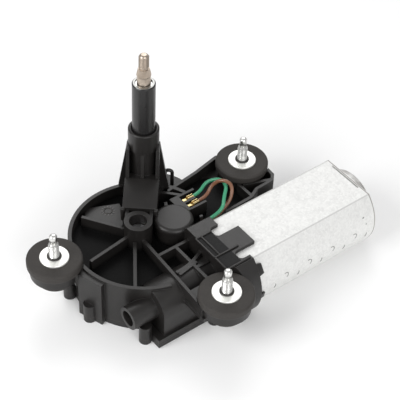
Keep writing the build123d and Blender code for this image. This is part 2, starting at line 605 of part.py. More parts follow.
with BuildPart() as output_spindle:
    with BuildSketch(Plane.XZ) as half:
        Polygon(
            (0, SPINDLE_BOTTOM),
            (SPINDLE_R - 0.4, SPINDLE_BOTTOM),
            (SPINDLE_R, SPINDLE_BOTTOM + 0.4),
            (SPINDLE_R, CLIP_Z - CLIP_T / 2),
            (SPINDLE_R - 0.5, CLIP_Z - CLIP_T / 2),
            (SPINDLE_R - 0.5, CLIP_Z + CLIP_T / 2),
            (SPINDLE_R, CLIP_Z + CLIP_T / 2),
            (SPINDLE_R, CONE_Z0 - 0.8),
            (CONE_R, CONE_Z0),
            (CONE_TOP_R, CONE_Z1),
            (THREAD_R - 0.45, CONE_Z1),
            (THREAD_R - 0.45, CONE_Z1 + 0.9),
            (THREAD_R, CONE_Z1 + 1.3),
            (THREAD_R, TIP_Z - 0.9),
            (THREAD_R - 0.9, TIP_Z),
            (0, TIP_Z),
            align=None,
        )
    revolve(axis=Axis.Z)
finish(output_spindle, "output_spindle")

with BuildPart() as spindle_clip:
    add_z_round((0, 0), CLIP_Z - CLIP_T / 2 + 0.05, CLIP_Z + CLIP_T / 2 - 0.05, SPINDLE_R + 0.75)
    add_z_round((0, 0), CLIP_Z - 1, CLIP_Z + 1, SPINDLE_R - 0.5 + SEAT, mode=Mode.SUBTRACT)
    with BuildSketch(Plane.XY.offset(CLIP_Z - 1)) as mouth:
        with Locations((SPINDLE_R, 0)):
            Rectangle(SPINDLE_R, 3.0)
    extrude(mouth.sketch, amount=2, mode=Mode.SUBTRACT)
finish(spindle_clip, "spindle_clip")

with BuildPart() as output_pinion:
    extrude(
        toothed_disc((0, 0), GEAR_Z0, PINION_R, PINION_TEETH, degrees(LINK_ANGLE), PINION_TEETH, BACKLASH),
        amount=GEAR_Z1 - GEAR_Z0,
    )
    add_z_round((0, 0), GEAR_Z1, DECK_BOTTOM - AXIAL_GAP, PINION_HUB_R)
    add_z_round((0, 0), GEAR_Z0, DECK_BOTTOM, SPINDLE_R + SEAT / 2, mode=Mode.SUBTRACT)
finish(output_pinion, "output_pinion")

# ---------------------------------------------------------------- crank linkage
with BuildPart() as guide_link:
    with BuildSketch(Plane.XY.offset(LINK_Z0)) as bar:
        with BuildLine():
            Line((0, 0), (LINK_X, LINK_Y))
        trace(line_width=2 * LINK_EYE_R)
        with Locations((0, 0), (LINK_X, LINK_Y)):
            Circle(LINK_EYE_R)
        with Locations((0, 0)):
            Circle(SPINDLE_R + FIT, mode=Mode.SUBTRACT)
        with Locations((LINK_X, LINK_Y)):
            Circle(PIVOT_R + SEAT / 2, mode=Mode.SUBTRACT)
    extrude(amount=LINK_Z1 - LINK_Z0)
finish(guide_link, "guide_link")

with BuildPart() as link_pin:
    add_z_round((LINK_X, LINK_Y), LINK_Z0, GEAR_Z1 + 0.9, PIVOT_R)
finish(link_pin, "link_pin")

with BuildPart() as toothed_conrod:
    sector_start = degrees(LINK_ANGLE) + 180 - (SECTOR_CUT_TEETH - 1) / 2 * 360 / SECTOR_TEETH
    extrude(
        toothed_disc(
            (LINK_X, LINK_Y), GEAR_Z0, SECTOR_R, SECTOR_TEETH, sector_start, SECTOR_CUT_TEETH, BACKLASH
        ),
        amount=GEAR_Z1 - GEAR_Z0,
    )
    with BuildSketch(Plane.XY.offset(GEAR_Z0)) as bar:
        with BuildLine():
            Line((LINK_X, LINK_Y), (CRANK_X, CRANK_Y))
        trace(line_width=CONROD_WIDTH)
        with Locations((CRANK_X, CRANK_Y)):
            Circle(CONROD_EYE_R)
    extrude(bar.sketch, amount=GEAR_Z1 - GEAR_Z0)
    add_z_round((CRANK_X, CRANK_Y), GEAR_Z0, GEAR_Z1, CRANK_PIN_R + FIT, mode=Mode.SUBTRACT)
    add_z_round((LINK_X, LINK_Y), GEAR_Z0, GEAR_Z1, PIVOT_R + FIT, mode=Mode.SUBTRACT)
finish(toothed_conrod, "toothed_conrod")

# ---------------------------------------------------------------- worm wheel
wheel_step = 360 / WHEEL_TEETH
wheel_first = -90 + wheel_step / 2
with BuildPart() as worm_wheel:
    wheel_plans = [
        toothed_disc(
            (0, 0),
            z,
            WHEEL_R,
            WHEEL_TEETH,
            wheel_first + degrees(LEAD * (z - MOTOR_Z) / WHEEL_R),
            WHEEL_TEETH,
            BACKLASH,
        ).moved(Location((WHEEL_X, WHEEL_Y, 0)))
        for z in (WHEEL_Z0, WHEEL_Z1)
    ]
    loft([plan.face() for plan in wheel_plans], ruled=True)
    with BuildSketch(Plane.XY.offset(WHEEL_Z0)) as web:
        with Locations((WHEEL_X, WHEEL_Y)):
            Circle(WHEEL_R - 5.5)
            Circle(CRANK_THROW + CRANK_PIN_R + 2.4, mode=Mode.SUBTRACT)
            with PolarLocations(0, 6):
                Rectangle(2 * WHEEL_R, 2.4, mode=Mode.SUBTRACT)
    extrude(web.sketch, amount=(WHEEL_Z1 - WHEEL_Z0) / 2, mode=Mode.SUBTRACT)
    add_z_round((WHEEL_X, WHEEL_Y), WHEEL_Z0 + 1.6, WHEEL_Z1 + 1, SHAFT_R + SEAT / 2, mode=Mode.SUBTRACT)
    add_z_round((CRANK_X, CRANK_Y), WHEEL_Z0 - 1, WHEEL_Z1 + 1, CRANK_PIN_R + SEAT / 2, mode=Mode.SUBTRACT)
finish(worm_wheel, "worm_wheel")

with BuildPart() as crank_pin:
    add_z_round((CRANK_X, CRANK_Y), GEAR_Z1 + AXIAL_GAP, WHEEL_Z1, CRANK_PIN_R)
finish(crank_pin, "crank_pin")

with BuildPart() as wheel_shaft:
    add_z_round((WHEEL_X, WHEEL_Y), WHEEL_Z0 + 1.6, WHEEL_SHAFT_TOP, SHAFT_R)
    add_z_round((WHEEL_X, WHEEL_Y), WHEEL_BUSH_Z1 + 0.1, WHEEL_BUSH_Z1 + 0.8, SHAFT_R + 0.7)
    chamfer(wheel_shaft.edges().filter_by(GeomType.CIRCLE).group_by(Axis.Z)[-1], length=0.3)
finish(wheel_shaft, "wheel_shaft")

with BuildPart() as wheel_bush:
    add_z_round((WHEEL_X, WHEEL_Y), DECK_BOTTOM, WHEEL_BUSH_Z1, WHEEL_BUSH_R)
    add_z_round((WHEEL_X, WHEEL_Y), DECK_BOTTOM, WHEEL_BUSH_Z1, SHAFT_R + FIT, mode=Mode.SUBTRACT)
finish(wheel_bush, "wheel_bush")

# ---------------------------------------------------------------- motor
with BuildPart() as motor_can:
    add_can_section(CAN_FRONT, CAN_BACK, 0)
    add_x_round(CAN_BACK - 1, NOSE_X, NOSE_R)
    fillet(motor_can.edges().filter_by(GeomType.CIRCLE).group_by(Axis.X)[-1], radius=3.2)
    add_can_section(CAN_FRONT - 1, CAN_BACK - CAN_WALL, -CAN_WALL, mode=Mode.SUBTRACT)
    add_x_round(CAN_BACK - CAN_WALL - 1, NOSE_X - CAN_WALL, REAR_BUSH_R + SEAT, mode=Mode.SUBTRACT)
    with BuildSketch(Plane.XY.offset(MOTOR_Z + CAN_FLAT - CAN_WALL - 0.5)) as slot:
        with Locations((CAN_BACK - 1.6, MOTOR_Y + 1.5)):
            Rectangle(1.2, 23)
    extrude(slot.sketch, amount=CAN_WALL + 1, mode=Mode.SUBTRACT)
finish(motor_can, "motor_can")

with BuildPart() as magnets:
    with BuildSketch(Plane.YZ.offset(MAGNET_X0)) as ring:
        with Locations((MOTOR_Y, MOTOR_Z)):
            Circle(CAN_R - CAN_WALL - SEAT)
            Circle(ARMATURE_R + 1.0, mode=Mode.SUBTRACT)
            Rectangle(3 * CAN_R, 2 * MAGNET_HALF, mode=Mode.INTERSECT)
    extrude(amount=MAGNET_X1 - MAGNET_X0)
finish(magnets, "magnets")

with BuildPart() as armature_shaft:
    add_x_round(SHAFT_X0, SHAFT_X1, SHAFT_R)
    add_x_round(WHEEL_X - WORM_HALF, WHEEL_X + WORM_HALF, WORM_R - DEDENDUM)
    with BuildLine() as thread_path:
        Helix(
            pitch=WORM_PITCH,
            height=WORM_TURNS * WORM_PITCH,
            radius=WORM_R - DEDENDUM,
            center=(WHEEL_X - (WORM_TURNS / 2 + 0.75) * WORM_PITCH + WORM_PITCH, MOTOR_Y, MOTOR_Z),
            direction=(1, 0, 0),
        )
    path_start = thread_path.edge()
    with BuildSketch(Plane(origin=path_start @ 0, x_dir=(1, 0, 0), z_dir=path_start % 0)) as thread:
        half_pitch = WORM_PITCH / 4 - BACKLASH / 2
        Polygon(
            (-half_pitch - 0.44, -0.3),
            (half_pitch + 0.44, -0.3),
            (half_pitch, DEDENDUM),
            (half_pitch - 0.33, DEDENDUM + ADDENDUM),
            (-half_pitch + 0.33, DEDENDUM + ADDENDUM),
            (-half_pitch, DEDENDUM),
            align=None,
        )
    sweep(thread.sketch, path=thread_path.wire(), is_frenet=True)
finish(armature_shaft, "armature_shaft")

with BuildPart() as armature_core:
    with BuildSketch(Plane.YZ.offset(CORE_X0)) as lamination:
        with Locations((MOTOR_Y, MOTOR_Z)):
            Circle(ARMATURE_R)
            with PolarLocations(ARMATURE_R - 3.2, CORE_SLOTS):
                SlotOverall(5.2, 2.6, mode=Mode.SUBTRACT)
            with PolarLocations(ARMATURE_R, CORE_SLOTS):
                Rectangle(4, 1.2, mode=Mode.SUBTRACT)
            Circle(SHAFT_R + SEAT / 2, mode=Mode.SUBTRACT)
    extrude(amount=CORE_X1 - CORE_X0)
finish(armature_core, "armature_core")

with BuildPart() as armature_windings:
    for x_low, x_high in ((CORE_X0 - WINDING_X, CORE_X0), (CORE_X1, CORE_X1 + WINDING_X)):
        add_x_round(x_low, x_high, ARMATURE_R - 1.6)
        add_x_round(x_low, x_high, SHAFT_R + 1.4, mode=Mode.SUBTRACT)
    coil_ends = armature_windings.edges().filter_by(GeomType.CIRCLE).group_by(Axis.X)
    fillet([coil_ends[0].sort_by(SortBy.RADIUS)[-1], coil_ends[-1].sort_by(SortBy.RADIUS)[-1]], radius=2.5)
finish(armature_windings, "armature_windings")

with BuildPart() as commutator:
    add_x_round(COMM_X0, COMM_X1, COMM_R)
    add_x_round(COMM_X1 - 1.5, COMM_X1, COMM_R + 1.6)
    with BuildSketch(Plane.YZ.offset(COMM_X0)) as bar_gaps:
        with Locations((MOTOR_Y, MOTOR_Z)):
            with PolarLocations(COMM_R + 0.6, CORE_SLOTS):
                Rectangle(2.4, 0.6)
    extrude(bar_gaps.sketch, amount=COMM_X1 - COMM_X0, mode=Mode.SUBTRACT)
    add_x_round(COMM_X0, COMM_X1, SHAFT_R + SEAT / 2, mode=Mode.SUBTRACT)
finish(commutator, "commutator")

with BuildPart() as brush_plate:
    with BuildSketch(Plane.YZ.offset(PLATE_X0)) as disc:
        with Locations((MOTOR_Y, MOTOR_Z)):
            Circle(CAN_R - CAN_WALL - SEAT)
            Rectangle(3 * CAN_R, 2 * (CAN_FLAT - CAN_WALL - SEAT), mode=Mode.INTERSECT)
            Circle(COMM_R + 2.5, mode=Mode.SUBTRACT)
    extrude(amount=PLATE_X1 - PLATE_X0)
    for side in (-1, 1):
        with BuildSketch(Plane.YZ.offset(PLATE_X1)) as holder:
            with Locations((MOTOR_Y + side * (BRUSH_Y0 + 5.0), MOTOR_Z)):
                Rectangle(HOLDER_W, HOLDER_H)
                Rectangle(HOLDER_W + 1, BRUSH_H + 2 * SEAT, mode=Mode.SUBTRACT)
        extrude(holder.sketch, amount=BRUSH_X1 - PLATE_X1 + 0.6)
finish(brush_plate, "brush_plate")

with BuildPart() as brushes:
    for side in (-1, 1):
        with BuildSketch(Plane.YZ.offset(PLATE_X1 + SEAT)) as carbon:
            with Locations((MOTOR_Y + side * (BRUSH_Y0 + 3.5), MOTOR_Z)):
                Rectangle(BRUSH_W, BRUSH_H)
        extrude(carbon.sketch, amount=BRUSH_X1 - PLATE_X1 - SEAT)
finish(brushes, "brushes")

with BuildPart() as ball_bearing:
    add_x_round(BALL_X0, BALL_X1, BALL_OUT_R)
    add_x_round(BALL_X0, BALL_X1, SHAFT_R + FIT, mode=Mode.SUBTRACT)
    for x_face in (BALL_X0, BALL_X1 - 0.8):
        add_x_round(x_face, x_face + 0.8, BALL_OUT_R - 2.2, mode=Mode.SUBTRACT)
        with BuildSketch(Plane.YZ.offset(x_face)) as inner_race:
            with Locations((MOTOR_Y, MOTOR_Z)):
                Circle(SHAFT_R + 2.2)
                Circle(SHAFT_R + FIT, mode=Mode.SUBTRACT)
        extrude(inner_race.sketch, amount=0.8)
finish(ball_bearing, "ball_bearing")

with BuildPart() as rear_bush:
    add_x_round(REAR_BUSH_X0, NOSE_X - CAN_WALL - SEAT, REAR_BUSH_R)
    add_x_round(REAR_BUSH_X0 - 1, SHAFT_X1 + AXIAL_GAP, SHAFT_R + FIT, mode=Mode.SUBTRACT)
finish(rear_bush, "rear_bush")

with BuildPart() as nose_bush:
    add_x_round(NOSE_BUSH_X0 + SEAT, NOSE_BUSH_X1, NOSE_BUSH_R)
    add_x_round(NOSE_BUSH_X0, NOSE_BUSH_X1, SHAFT_R + FIT, mode=Mode.SUBTRACT)
finish(nose_bush, "nose_bush")

with BuildPart() as thrust_plug:
    add_x_round(SHAFT_X0 - AXIAL_GAP - 4.5, SHAFT_X0 - AXIAL_GAP, THRUST_BORE_R - SEAT)
    with BuildSketch(Plane.YZ.offset(SHAFT_X0 - AXIAL_GAP - 4.5)) as driver_slot:
        with Locations((MOTOR_Y, MOTOR_Z)):
            RegularPolygon(2.4, 6)
    extrude(driver_slot.sketch, amount=2.2, mode=Mode.SUBTRACT)
finish(thrust_plug, "thrust_plug")

# ---------------------------------------------------------------- mounts: grommets, sleeves and studs
for place, (x, y) in GROMMETS.items():
    with BuildPart() as grommet:
        add_z_round((x, y), EAR_Z1, GROMMET_TOP, GROMMET_R)
        fillet(grommet.edges().filter_by(GeomType.CIRCLE), radius=1.4)
        add_z_round((x, y), EAR_Z0 - 0.5, EAR_Z1 + 0.5, GROMMET_NECK_R)
        add_z_round((x, y), GROMMET_BOTTOM, EAR_Z0, GROMMET_FOOT_R)
        fillet(grommet.edges().filter_by(GeomType.CIRCLE).group_by(Axis.Z)[0], radius=1.4)
        add_z_round((x, y), GROMMET_BOTTOM, GROMMET_TOP, SLEEVE_R + SEAT, mode=Mode.SUBTRACT)
    finish(grommet, f"grommet_{place}")

    with BuildPart() as sleeve:
        add_z_round((x, y), GROMMET_BOTTOM - 0.2, GROMMET_TOP + WASHER_T, SLEEVE_R)
        add_z_round((x, y), GROMMET_TOP, GROMMET_TOP + WASHER_T, WASHER_R)
        add_z_round((x, y), GROMMET_BOTTOM - 1, GROMMET_TOP + 2, SLEEVE_BORE_R, mode=Mode.SUBTRACT)
        chamfer(sleeve.edges().filter_by(GeomType.CIRCLE).group_by(Axis.Z)[-1], length=0.3)
    finish(sleeve, f"sleeve_{place}")

    with BuildPart() as stud:
        with BuildSketch(Plane(origin=(x, y, 0), x_dir=(1, 0, 0), z_dir=(0, -1, 0))) as half:
            Polygon(
                (0, STUD_BASE_Z),
                (STUD_FLANGE_R, STUD_BASE_Z),
                (STUD_FLANGE_R, GROMMET_BOTTOM - 0.2),
                (STUD_SHANK_R, GROMMET_BOTTOM - 0.2),
                (STUD_SHANK_R, STUD_SHANK_Z),
                (STUD_R, STUD_SHANK_Z),
                (STUD_R, STUD_THREAD_TOP - 0.5),
                (STUD_R - 0.5, STUD_THREAD_TOP),
                (STUD_NECK_R, STUD_THREAD_TOP + 0.2),
                (STUD_NECK_R, STUD_THREAD_TOP + 1.0),
                (STUD_TIP_R, STUD_THREAD_TOP + 1.6),
                (STUD_TIP_R, STUD_TIP_Z - 1.4),
                (STUD_TIP_R - 0.9, STUD_TIP_Z - 0.3),
                (0, STUD_TIP_Z),
                align=None,
            )
        revolve(axis=Axis((x, y, 0), (0, 0, 1)))
    finish(stud, f"stud_{place}")

# ---------------------------------------------------------------- terminals, wires and connector
for colour, y in TERMINAL_YS.items():
    with BuildPart() as terminal:
        with BuildSketch(Plane.YZ.offset(TERMINAL_X0)) as blade:
            with Locations((y, TERMINAL_Z)):
                Rectangle(2.8, 2.2)
        extrude(amount=4.2)
        with BuildSketch(Plane.YZ.offset(TERMINAL_X0)) as barrel:
            with Locations((y, TERMINAL_Z)):
                Circle(1.0)
        extrude(barrel.sketch, amount=5.4)
        with BuildSketch(Plane.YZ.offset(TERMINAL_X1 - 2.8)) as crimp:
            with Locations((y, TERMINAL_Z)):
                Circle(1.5)
        extrude(crimp.sketch, amount=2.8)
    finish(terminal, f"terminal_{colour}")

WIRES = {
    "green": [
        (17.4, -25.2, 33.6),
        (22.1, -25.2, 33.6),
        (29.0, -23.1, 37.9),
        (34.3, -28.7, 41.3),
        (33.6, -36.7, 40.9),
        (28.4, -41.8, 38.4),
        (23.8, CAN_SIDE + 1.4, 32.8),
        (17.2, CAN_SIDE + 0.4, 27.6),
        (10.5, CAN_SIDE + 0.4, 27.6),
    ],
    "brown": [
        (17.4, -30.2, 33.6),
        (23.5, -30.2, 33.6),
        (29.3, -27.4, 38.4),
        (32.8, -31.6, 44.4),
        (33.9, -38.7, 44.9),
        (30.7, -44.2, 41.0),
        (24.9, CAN_SIDE - 2.2, 35.5),
        (16.6, CAN_SIDE - 1.4, 32.2),
        (10.5, CAN_SIDE - 1.4, 32.2),
    ],
}
ARC_SHARE = 0.45        # share of the shorter run that each bend may use


def bend_radii(points):
    """Radius of each bend of a wire, from its two runs and its turn."""
    radii = []
    for before, here, after in zip(points, points[1:], points[2:]):
        run_in = Vector(*here) - Vector(*before)
        run_out = Vector(*after) - Vector(*here)
        turn = radians(run_in.get_angle(run_out))
        radii.append(ARC_SHARE * min(run_in.length, run_out.length) / tan(turn / 2))
    return radii


for colour, points in WIRES.items():
    radii = bend_radii(points)
    with BuildPart() as wire:
        with BuildLine() as route:
            FilletPolyline(*points, radius=radii)
        with BuildSketch(Plane(origin=route.wire() @ 0, z_dir=route.wire() % 0)):
            Circle(WIRE_R)
        sweep()
    finish(wire, f"{colour}_wire")
    length = route.wire().length
    print(colour, "wire", round(length, 1), "mm, radii", [round(r, 1) for r in radii])
    print("  volume", round(wire.part.volume, 2), "section times length", round(pi * WIRE_R**2 * length, 2))
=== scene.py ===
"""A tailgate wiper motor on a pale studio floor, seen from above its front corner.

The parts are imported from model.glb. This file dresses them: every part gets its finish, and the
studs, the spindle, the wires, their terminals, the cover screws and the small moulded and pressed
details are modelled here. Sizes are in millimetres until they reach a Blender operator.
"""

import logging
import math
from collections.abc import Callable
from dataclasses import dataclass
from enum import Enum

import bpy
from mathutils import Euler, Matrix, Vector


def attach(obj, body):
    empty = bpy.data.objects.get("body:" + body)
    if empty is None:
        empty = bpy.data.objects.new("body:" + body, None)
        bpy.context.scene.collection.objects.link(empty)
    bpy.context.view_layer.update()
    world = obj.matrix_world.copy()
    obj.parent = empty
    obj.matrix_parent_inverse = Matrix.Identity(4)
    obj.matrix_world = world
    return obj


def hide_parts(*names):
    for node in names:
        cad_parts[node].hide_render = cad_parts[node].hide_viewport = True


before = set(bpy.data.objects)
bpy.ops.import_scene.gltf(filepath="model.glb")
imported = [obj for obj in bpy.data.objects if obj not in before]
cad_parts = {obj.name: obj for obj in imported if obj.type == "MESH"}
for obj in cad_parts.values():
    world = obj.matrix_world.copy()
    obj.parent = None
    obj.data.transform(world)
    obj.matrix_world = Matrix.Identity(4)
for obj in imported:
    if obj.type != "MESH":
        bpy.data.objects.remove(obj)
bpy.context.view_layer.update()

MM = 0.001
LOG = logging.getLogger("wiper_motor")
MOTOR_MIDDLE = (0.0, -0.04, 0.04)
CAN_AXIS_Y = -69.7
CAN_AXIS_Z = 19.2

Colour = tuple[float, float, float]
Point = tuple[float, float, float]
Pair = tuple[float, float]
Socket = bpy.types.NodeSocket
Piece = bpy.types.Object
PointTest = Callable[[Vector], bool]

NO_SIZE = 1e-6
BEVEL_ANGLE = math.radians(35)
RIDGE_SUNK = 0.15
RIDGE_FOOT = 0.92
RIDGE_CREST = 0.16
TURN_STEPS = 30
DOWN = (0.0, 0.0, -1.0)


class Body(Enum):
    """The moving bodies a piece can ride on."""

    HOUSING = "housing"
    SPINDLE = "spindle"


# ---- operator helpers
def scaled(point: Point) -> tuple[float, ...]:
    """A point in millimetres as Blender's metres."""
    return tuple(value * MM for value in point)


def pick(obj: Piece) -> None:
    """Select one object alone and make it active.

    Args:
        obj: The object.
    """
    bpy.ops.object.select_all(action="DESELECT")
    obj.select_set(True)
    bpy.context.view_layer.objects.active = obj


def named(name: str) -> Piece:
    """Name the object that an operator has just made and move its place into its mesh.

    Args:
        name: The object's new name, and its mesh's.

    Returns:
        The object.
    """
    obj = bpy.context.active_object
    obj.name = name
    obj.data.name = name
    pick(obj)
    bpy.ops.object.transform_apply(location=True, rotation=True, scale=True)
    return obj


def edit(obj: Piece, select: str = "SELECT") -> None:
    """Open one object's mesh for editing.

    Args:
        obj: The object.
        select: Whether all of the mesh or none of it is selected.
    """
    pick(obj)
    bpy.ops.object.mode_set(mode="EDIT")
    bpy.ops.mesh.select_all(action=select)


def close_edit() -> None:
    """Turn all faces outwards and leave edit mode."""
    bpy.ops.mesh.select_all(action="SELECT")
    bpy.ops.mesh.normals_make_consistent(inside=False)
    bpy.ops.object.mode_set(mode="OBJECT")


def choose_points(obj: Piece, test: PointTest) -> None:
    """Select the mesh points that pass a test, ready for an edit mode operator.

    Args:
        obj: The mesh object, in object mode.
        test: Function of a point's place in metres, true where the point is wanted.
    """
    edit(obj, select="DESELECT")
    bpy.ops.mesh.select_mode(type="VERT")
    bpy.ops.object.mode_set(mode="OBJECT")
    for point in obj.data.vertices:
        point.select = bool(test(point.co))
    bpy.ops.object.mode_set(mode="EDIT")


def modify(obj: Piece, kind: str, **settings: object) -> None:
    """Change a piece's mesh by an applied modifier.

    Args:
        obj: The piece.
        kind: The modifier's type.
        settings: Values for the modifier's own properties.
    """
    pick(obj)
    modifier = obj.modifiers.new(kind.lower(), kind)
    for key, value in settings.items():
        setattr(modifier, key, value)
    bpy.ops.object.modifier_apply(modifier=modifier.name)


def soften(obj: Piece, width: float, segments: int = 2) -> None:
    """Round a piece's sharp edges with a bevel, its width in millimetres."""
    shape = {"width": width * MM, "segments": segments}
    modify(obj, "BEVEL", limit_method="ANGLE", angle_limit=BEVEL_ANGLE, **shape)


def smooth(obj: Piece, angle: float = 35.0) -> None:
    """Shade a piece smooth, with edges over the angle in degrees kept sharp."""
    pick(obj)
    bpy.ops.object.shade_smooth_by_angle(angle=math.radians(angle))


def join(parts: list[Piece], name: str) -> Piece:
    """Join several meshes into one.

    Args:
        parts: The meshes, the first of which takes up the others.
        name: Name of the whole.

    Returns:
        The whole.
    """
    pick(parts[0])
    for part in parts[1:]:
        part.select_set(True)
    bpy.ops.object.join()
    parts[0].name = name
    parts[0].data.name = name
    return parts[0]


def copy_to(obj: Piece, name: str, step: Point) -> Piece:
    """Copy a piece with its own mesh.

    Args:
        obj: The piece.
        name: Name of the copy.
        step: How far the copy stands from the piece, in millimetres.

    Returns:
        The copy.
    """
    pick(obj)
    bpy.ops.object.duplicate(linked=False)
    bpy.ops.transform.translate(value=scaled(step))
    return named(name)


def add_block(name: str, middle: Point, size: Point, turn: Point = (0.0, 0.0, 0.0)) -> Piece:
    """A block about its middle.

    Args:
        name: Name of the new object.
        middle: Place of its middle in millimetres.
        size: Its size along its own axes in millimetres.
        turn: Its turn about each axis in radians.

    Returns:
        The block.
    """
    bpy.ops.mesh.primitive_cube_add(size=1.0, location=scaled(middle), rotation=turn)
    bpy.context.active_object.scale = scaled(size)
    return named(name)


def add_box(name: str, low: Point, high: Point) -> Piece:
    """A block between two corners given in millimetres."""
    middle = tuple((a + b) / 2 for a, b in zip(low, high))
    return add_block(name, middle, tuple(b - a for a, b in zip(low, high)))


def add_ring(
    name: str,
    place: Point,
    radius: float,
    line: float,
    points: tuple[int, int],
    turn: Point = (0.0, 0.0, 0.0),
) -> Piece:
    """A ring of round section.

    Args:
        name: Name of the new object.
        place: Its middle in millimetres.
        radius: Radius of its centre line in millimetres.
        line: Radius of its section in millimetres.
        points: Points round the ring and round its section.
        turn: Turn about each axis in radians.

    Returns:
        The ring.
    """
    bpy.ops.mesh.primitive_torus_add(
        major_segments=points[0],
        minor_segments=points[1],
        major_radius=radius * MM,
        minor_radius=line * MM,
        location=scaled(place),
        rotation=turn,
    )
    return named(name)


def cut_off(obj: Piece, place: Point, facing: Point, fill: bool = False) -> None:
    """Cut off what lies beyond a plane.

    Args:
        obj: The piece.
        place: A place on the plane in millimetres.
        facing: The way to the side that is cut off.
        fill: Whether the cut is closed with a face.
    """
    edit(obj)
    bpy.ops.mesh.bisect(plane_co=scaled(place), plane_no=facing, clear_outer=True, use_fill=fill)
    close_edit()


def resize(obj: Piece, factors: Point, place: Point, test: PointTest | None = None) -> None:
    """Stretch a piece's mesh, or some of its points.

    Args:
        obj: The piece.
        factors: How far it is stretched along each axis.
        place: The place in millimetres that stays where it is.
        test: True of a point's place in metres where the point is stretched.
    """
    if test:
        choose_points(obj, test)
    else:
        edit(obj)
    bpy.ops.transform.resize(value=factors, center_override=scaled(place))
    close_edit()


def turned(name: str, centre: Pair, stations: list[Pair], sides: int = 48) -> Piece:
    """A round body about an upright axis, drawn up ring by ring.

    Args:
        name: Name of the new object.
        centre: Plan place of its axis in millimetres.
        stations: Radius and height of each ring in millimetres, from the bottom up.
        sides: Points round each ring.

    Returns:
        The body, as a closed mesh.
    """
    radius, height = stations[0]
    place = scaled((*centre, height))
    bpy.ops.mesh.primitive_circle_add(
        vertices=sides, radius=radius * MM, fill_type="NGON", location=place
    )
    obj = named(name)
    edit(obj)
    for ring_radius, ring_height in stations[1:]:
        rise = (0.0, 0.0, (ring_height - height) * MM)
        bpy.ops.mesh.extrude_region_move(TRANSFORM_OT_translate={"value": rise})
        if abs(ring_radius - radius) > NO_SIZE:
            factor = ring_radius / radius
            middle = scaled((*centre, ring_height))
            bpy.ops.transform.resize(value=(factor, factor, 1.0), center_override=middle)
        radius, height = ring_radius, ring_height
    close_edit()
    return obj


def coiled_ridge(
    name: str, centre: Pair, radius: float, span: Pair, pitch: float, depth: float
) -> Piece:
    """The ridge of a screw thread, wound up an upright round body.

    Args:
        name: Name of the new object.
        centre: Plan place of the axis in millimetres.
        radius: Radius of the thread's root.
        span: Lowest and highest level of the thread.
        pitch: Rise of one turn.
        depth: Height of the ridge over the root.

    Returns:
        The ridge as a closed mesh whose two ends sink into the root.
    """
    half = (depth + RIDGE_SUNK) / 2
    place = scaled((radius - RIDGE_SUNK + half, 0.0, span[0]))
    bpy.ops.mesh.primitive_plane_add(size=1.0, location=place, rotation=(math.pi / 2, 0.0, 0.0))
    bpy.context.active_object.scale = (2 * half * MM, pitch * RIDGE_FOOT * MM, 1.0)
    obj = named(name)
    choose_points(obj, lambda co: co.x > radius * MM)
    narrow = (1.0, 1.0, RIDGE_CREST)
    bpy.ops.transform.resize(value=narrow, center_override=scaled((radius, 0.0, span[0])))
    bpy.ops.mesh.select_all(action="SELECT")
    bpy.ops.mesh.delete(type="ONLY_FACE")
    bpy.ops.object.mode_set(mode="OBJECT")
    turns = max(1, int((span[1] - span[0]) / pitch))
    steps = {"steps": TURN_STEPS, "render_steps": TURN_STEPS}
    modify(obj, "SCREW", screw_offset=pitch * MM, iterations=turns, **steps)
    edit(obj, select="DESELECT")
    bpy.ops.mesh.select_non_manifold(extend=False)
    shrink = (radius - depth) / (radius + depth)
    bpy.ops.transform.resize(value=(shrink, shrink, 1.0), center_override=(0.0, 0.0, 0.0))
    bpy.ops.mesh.select_all(action="SELECT")
    bpy.ops.mesh.fill_holes(sides=4)
    bpy.ops.transform.translate(value=scaled((*centre, 0.0)))
    close_edit()
    return obj


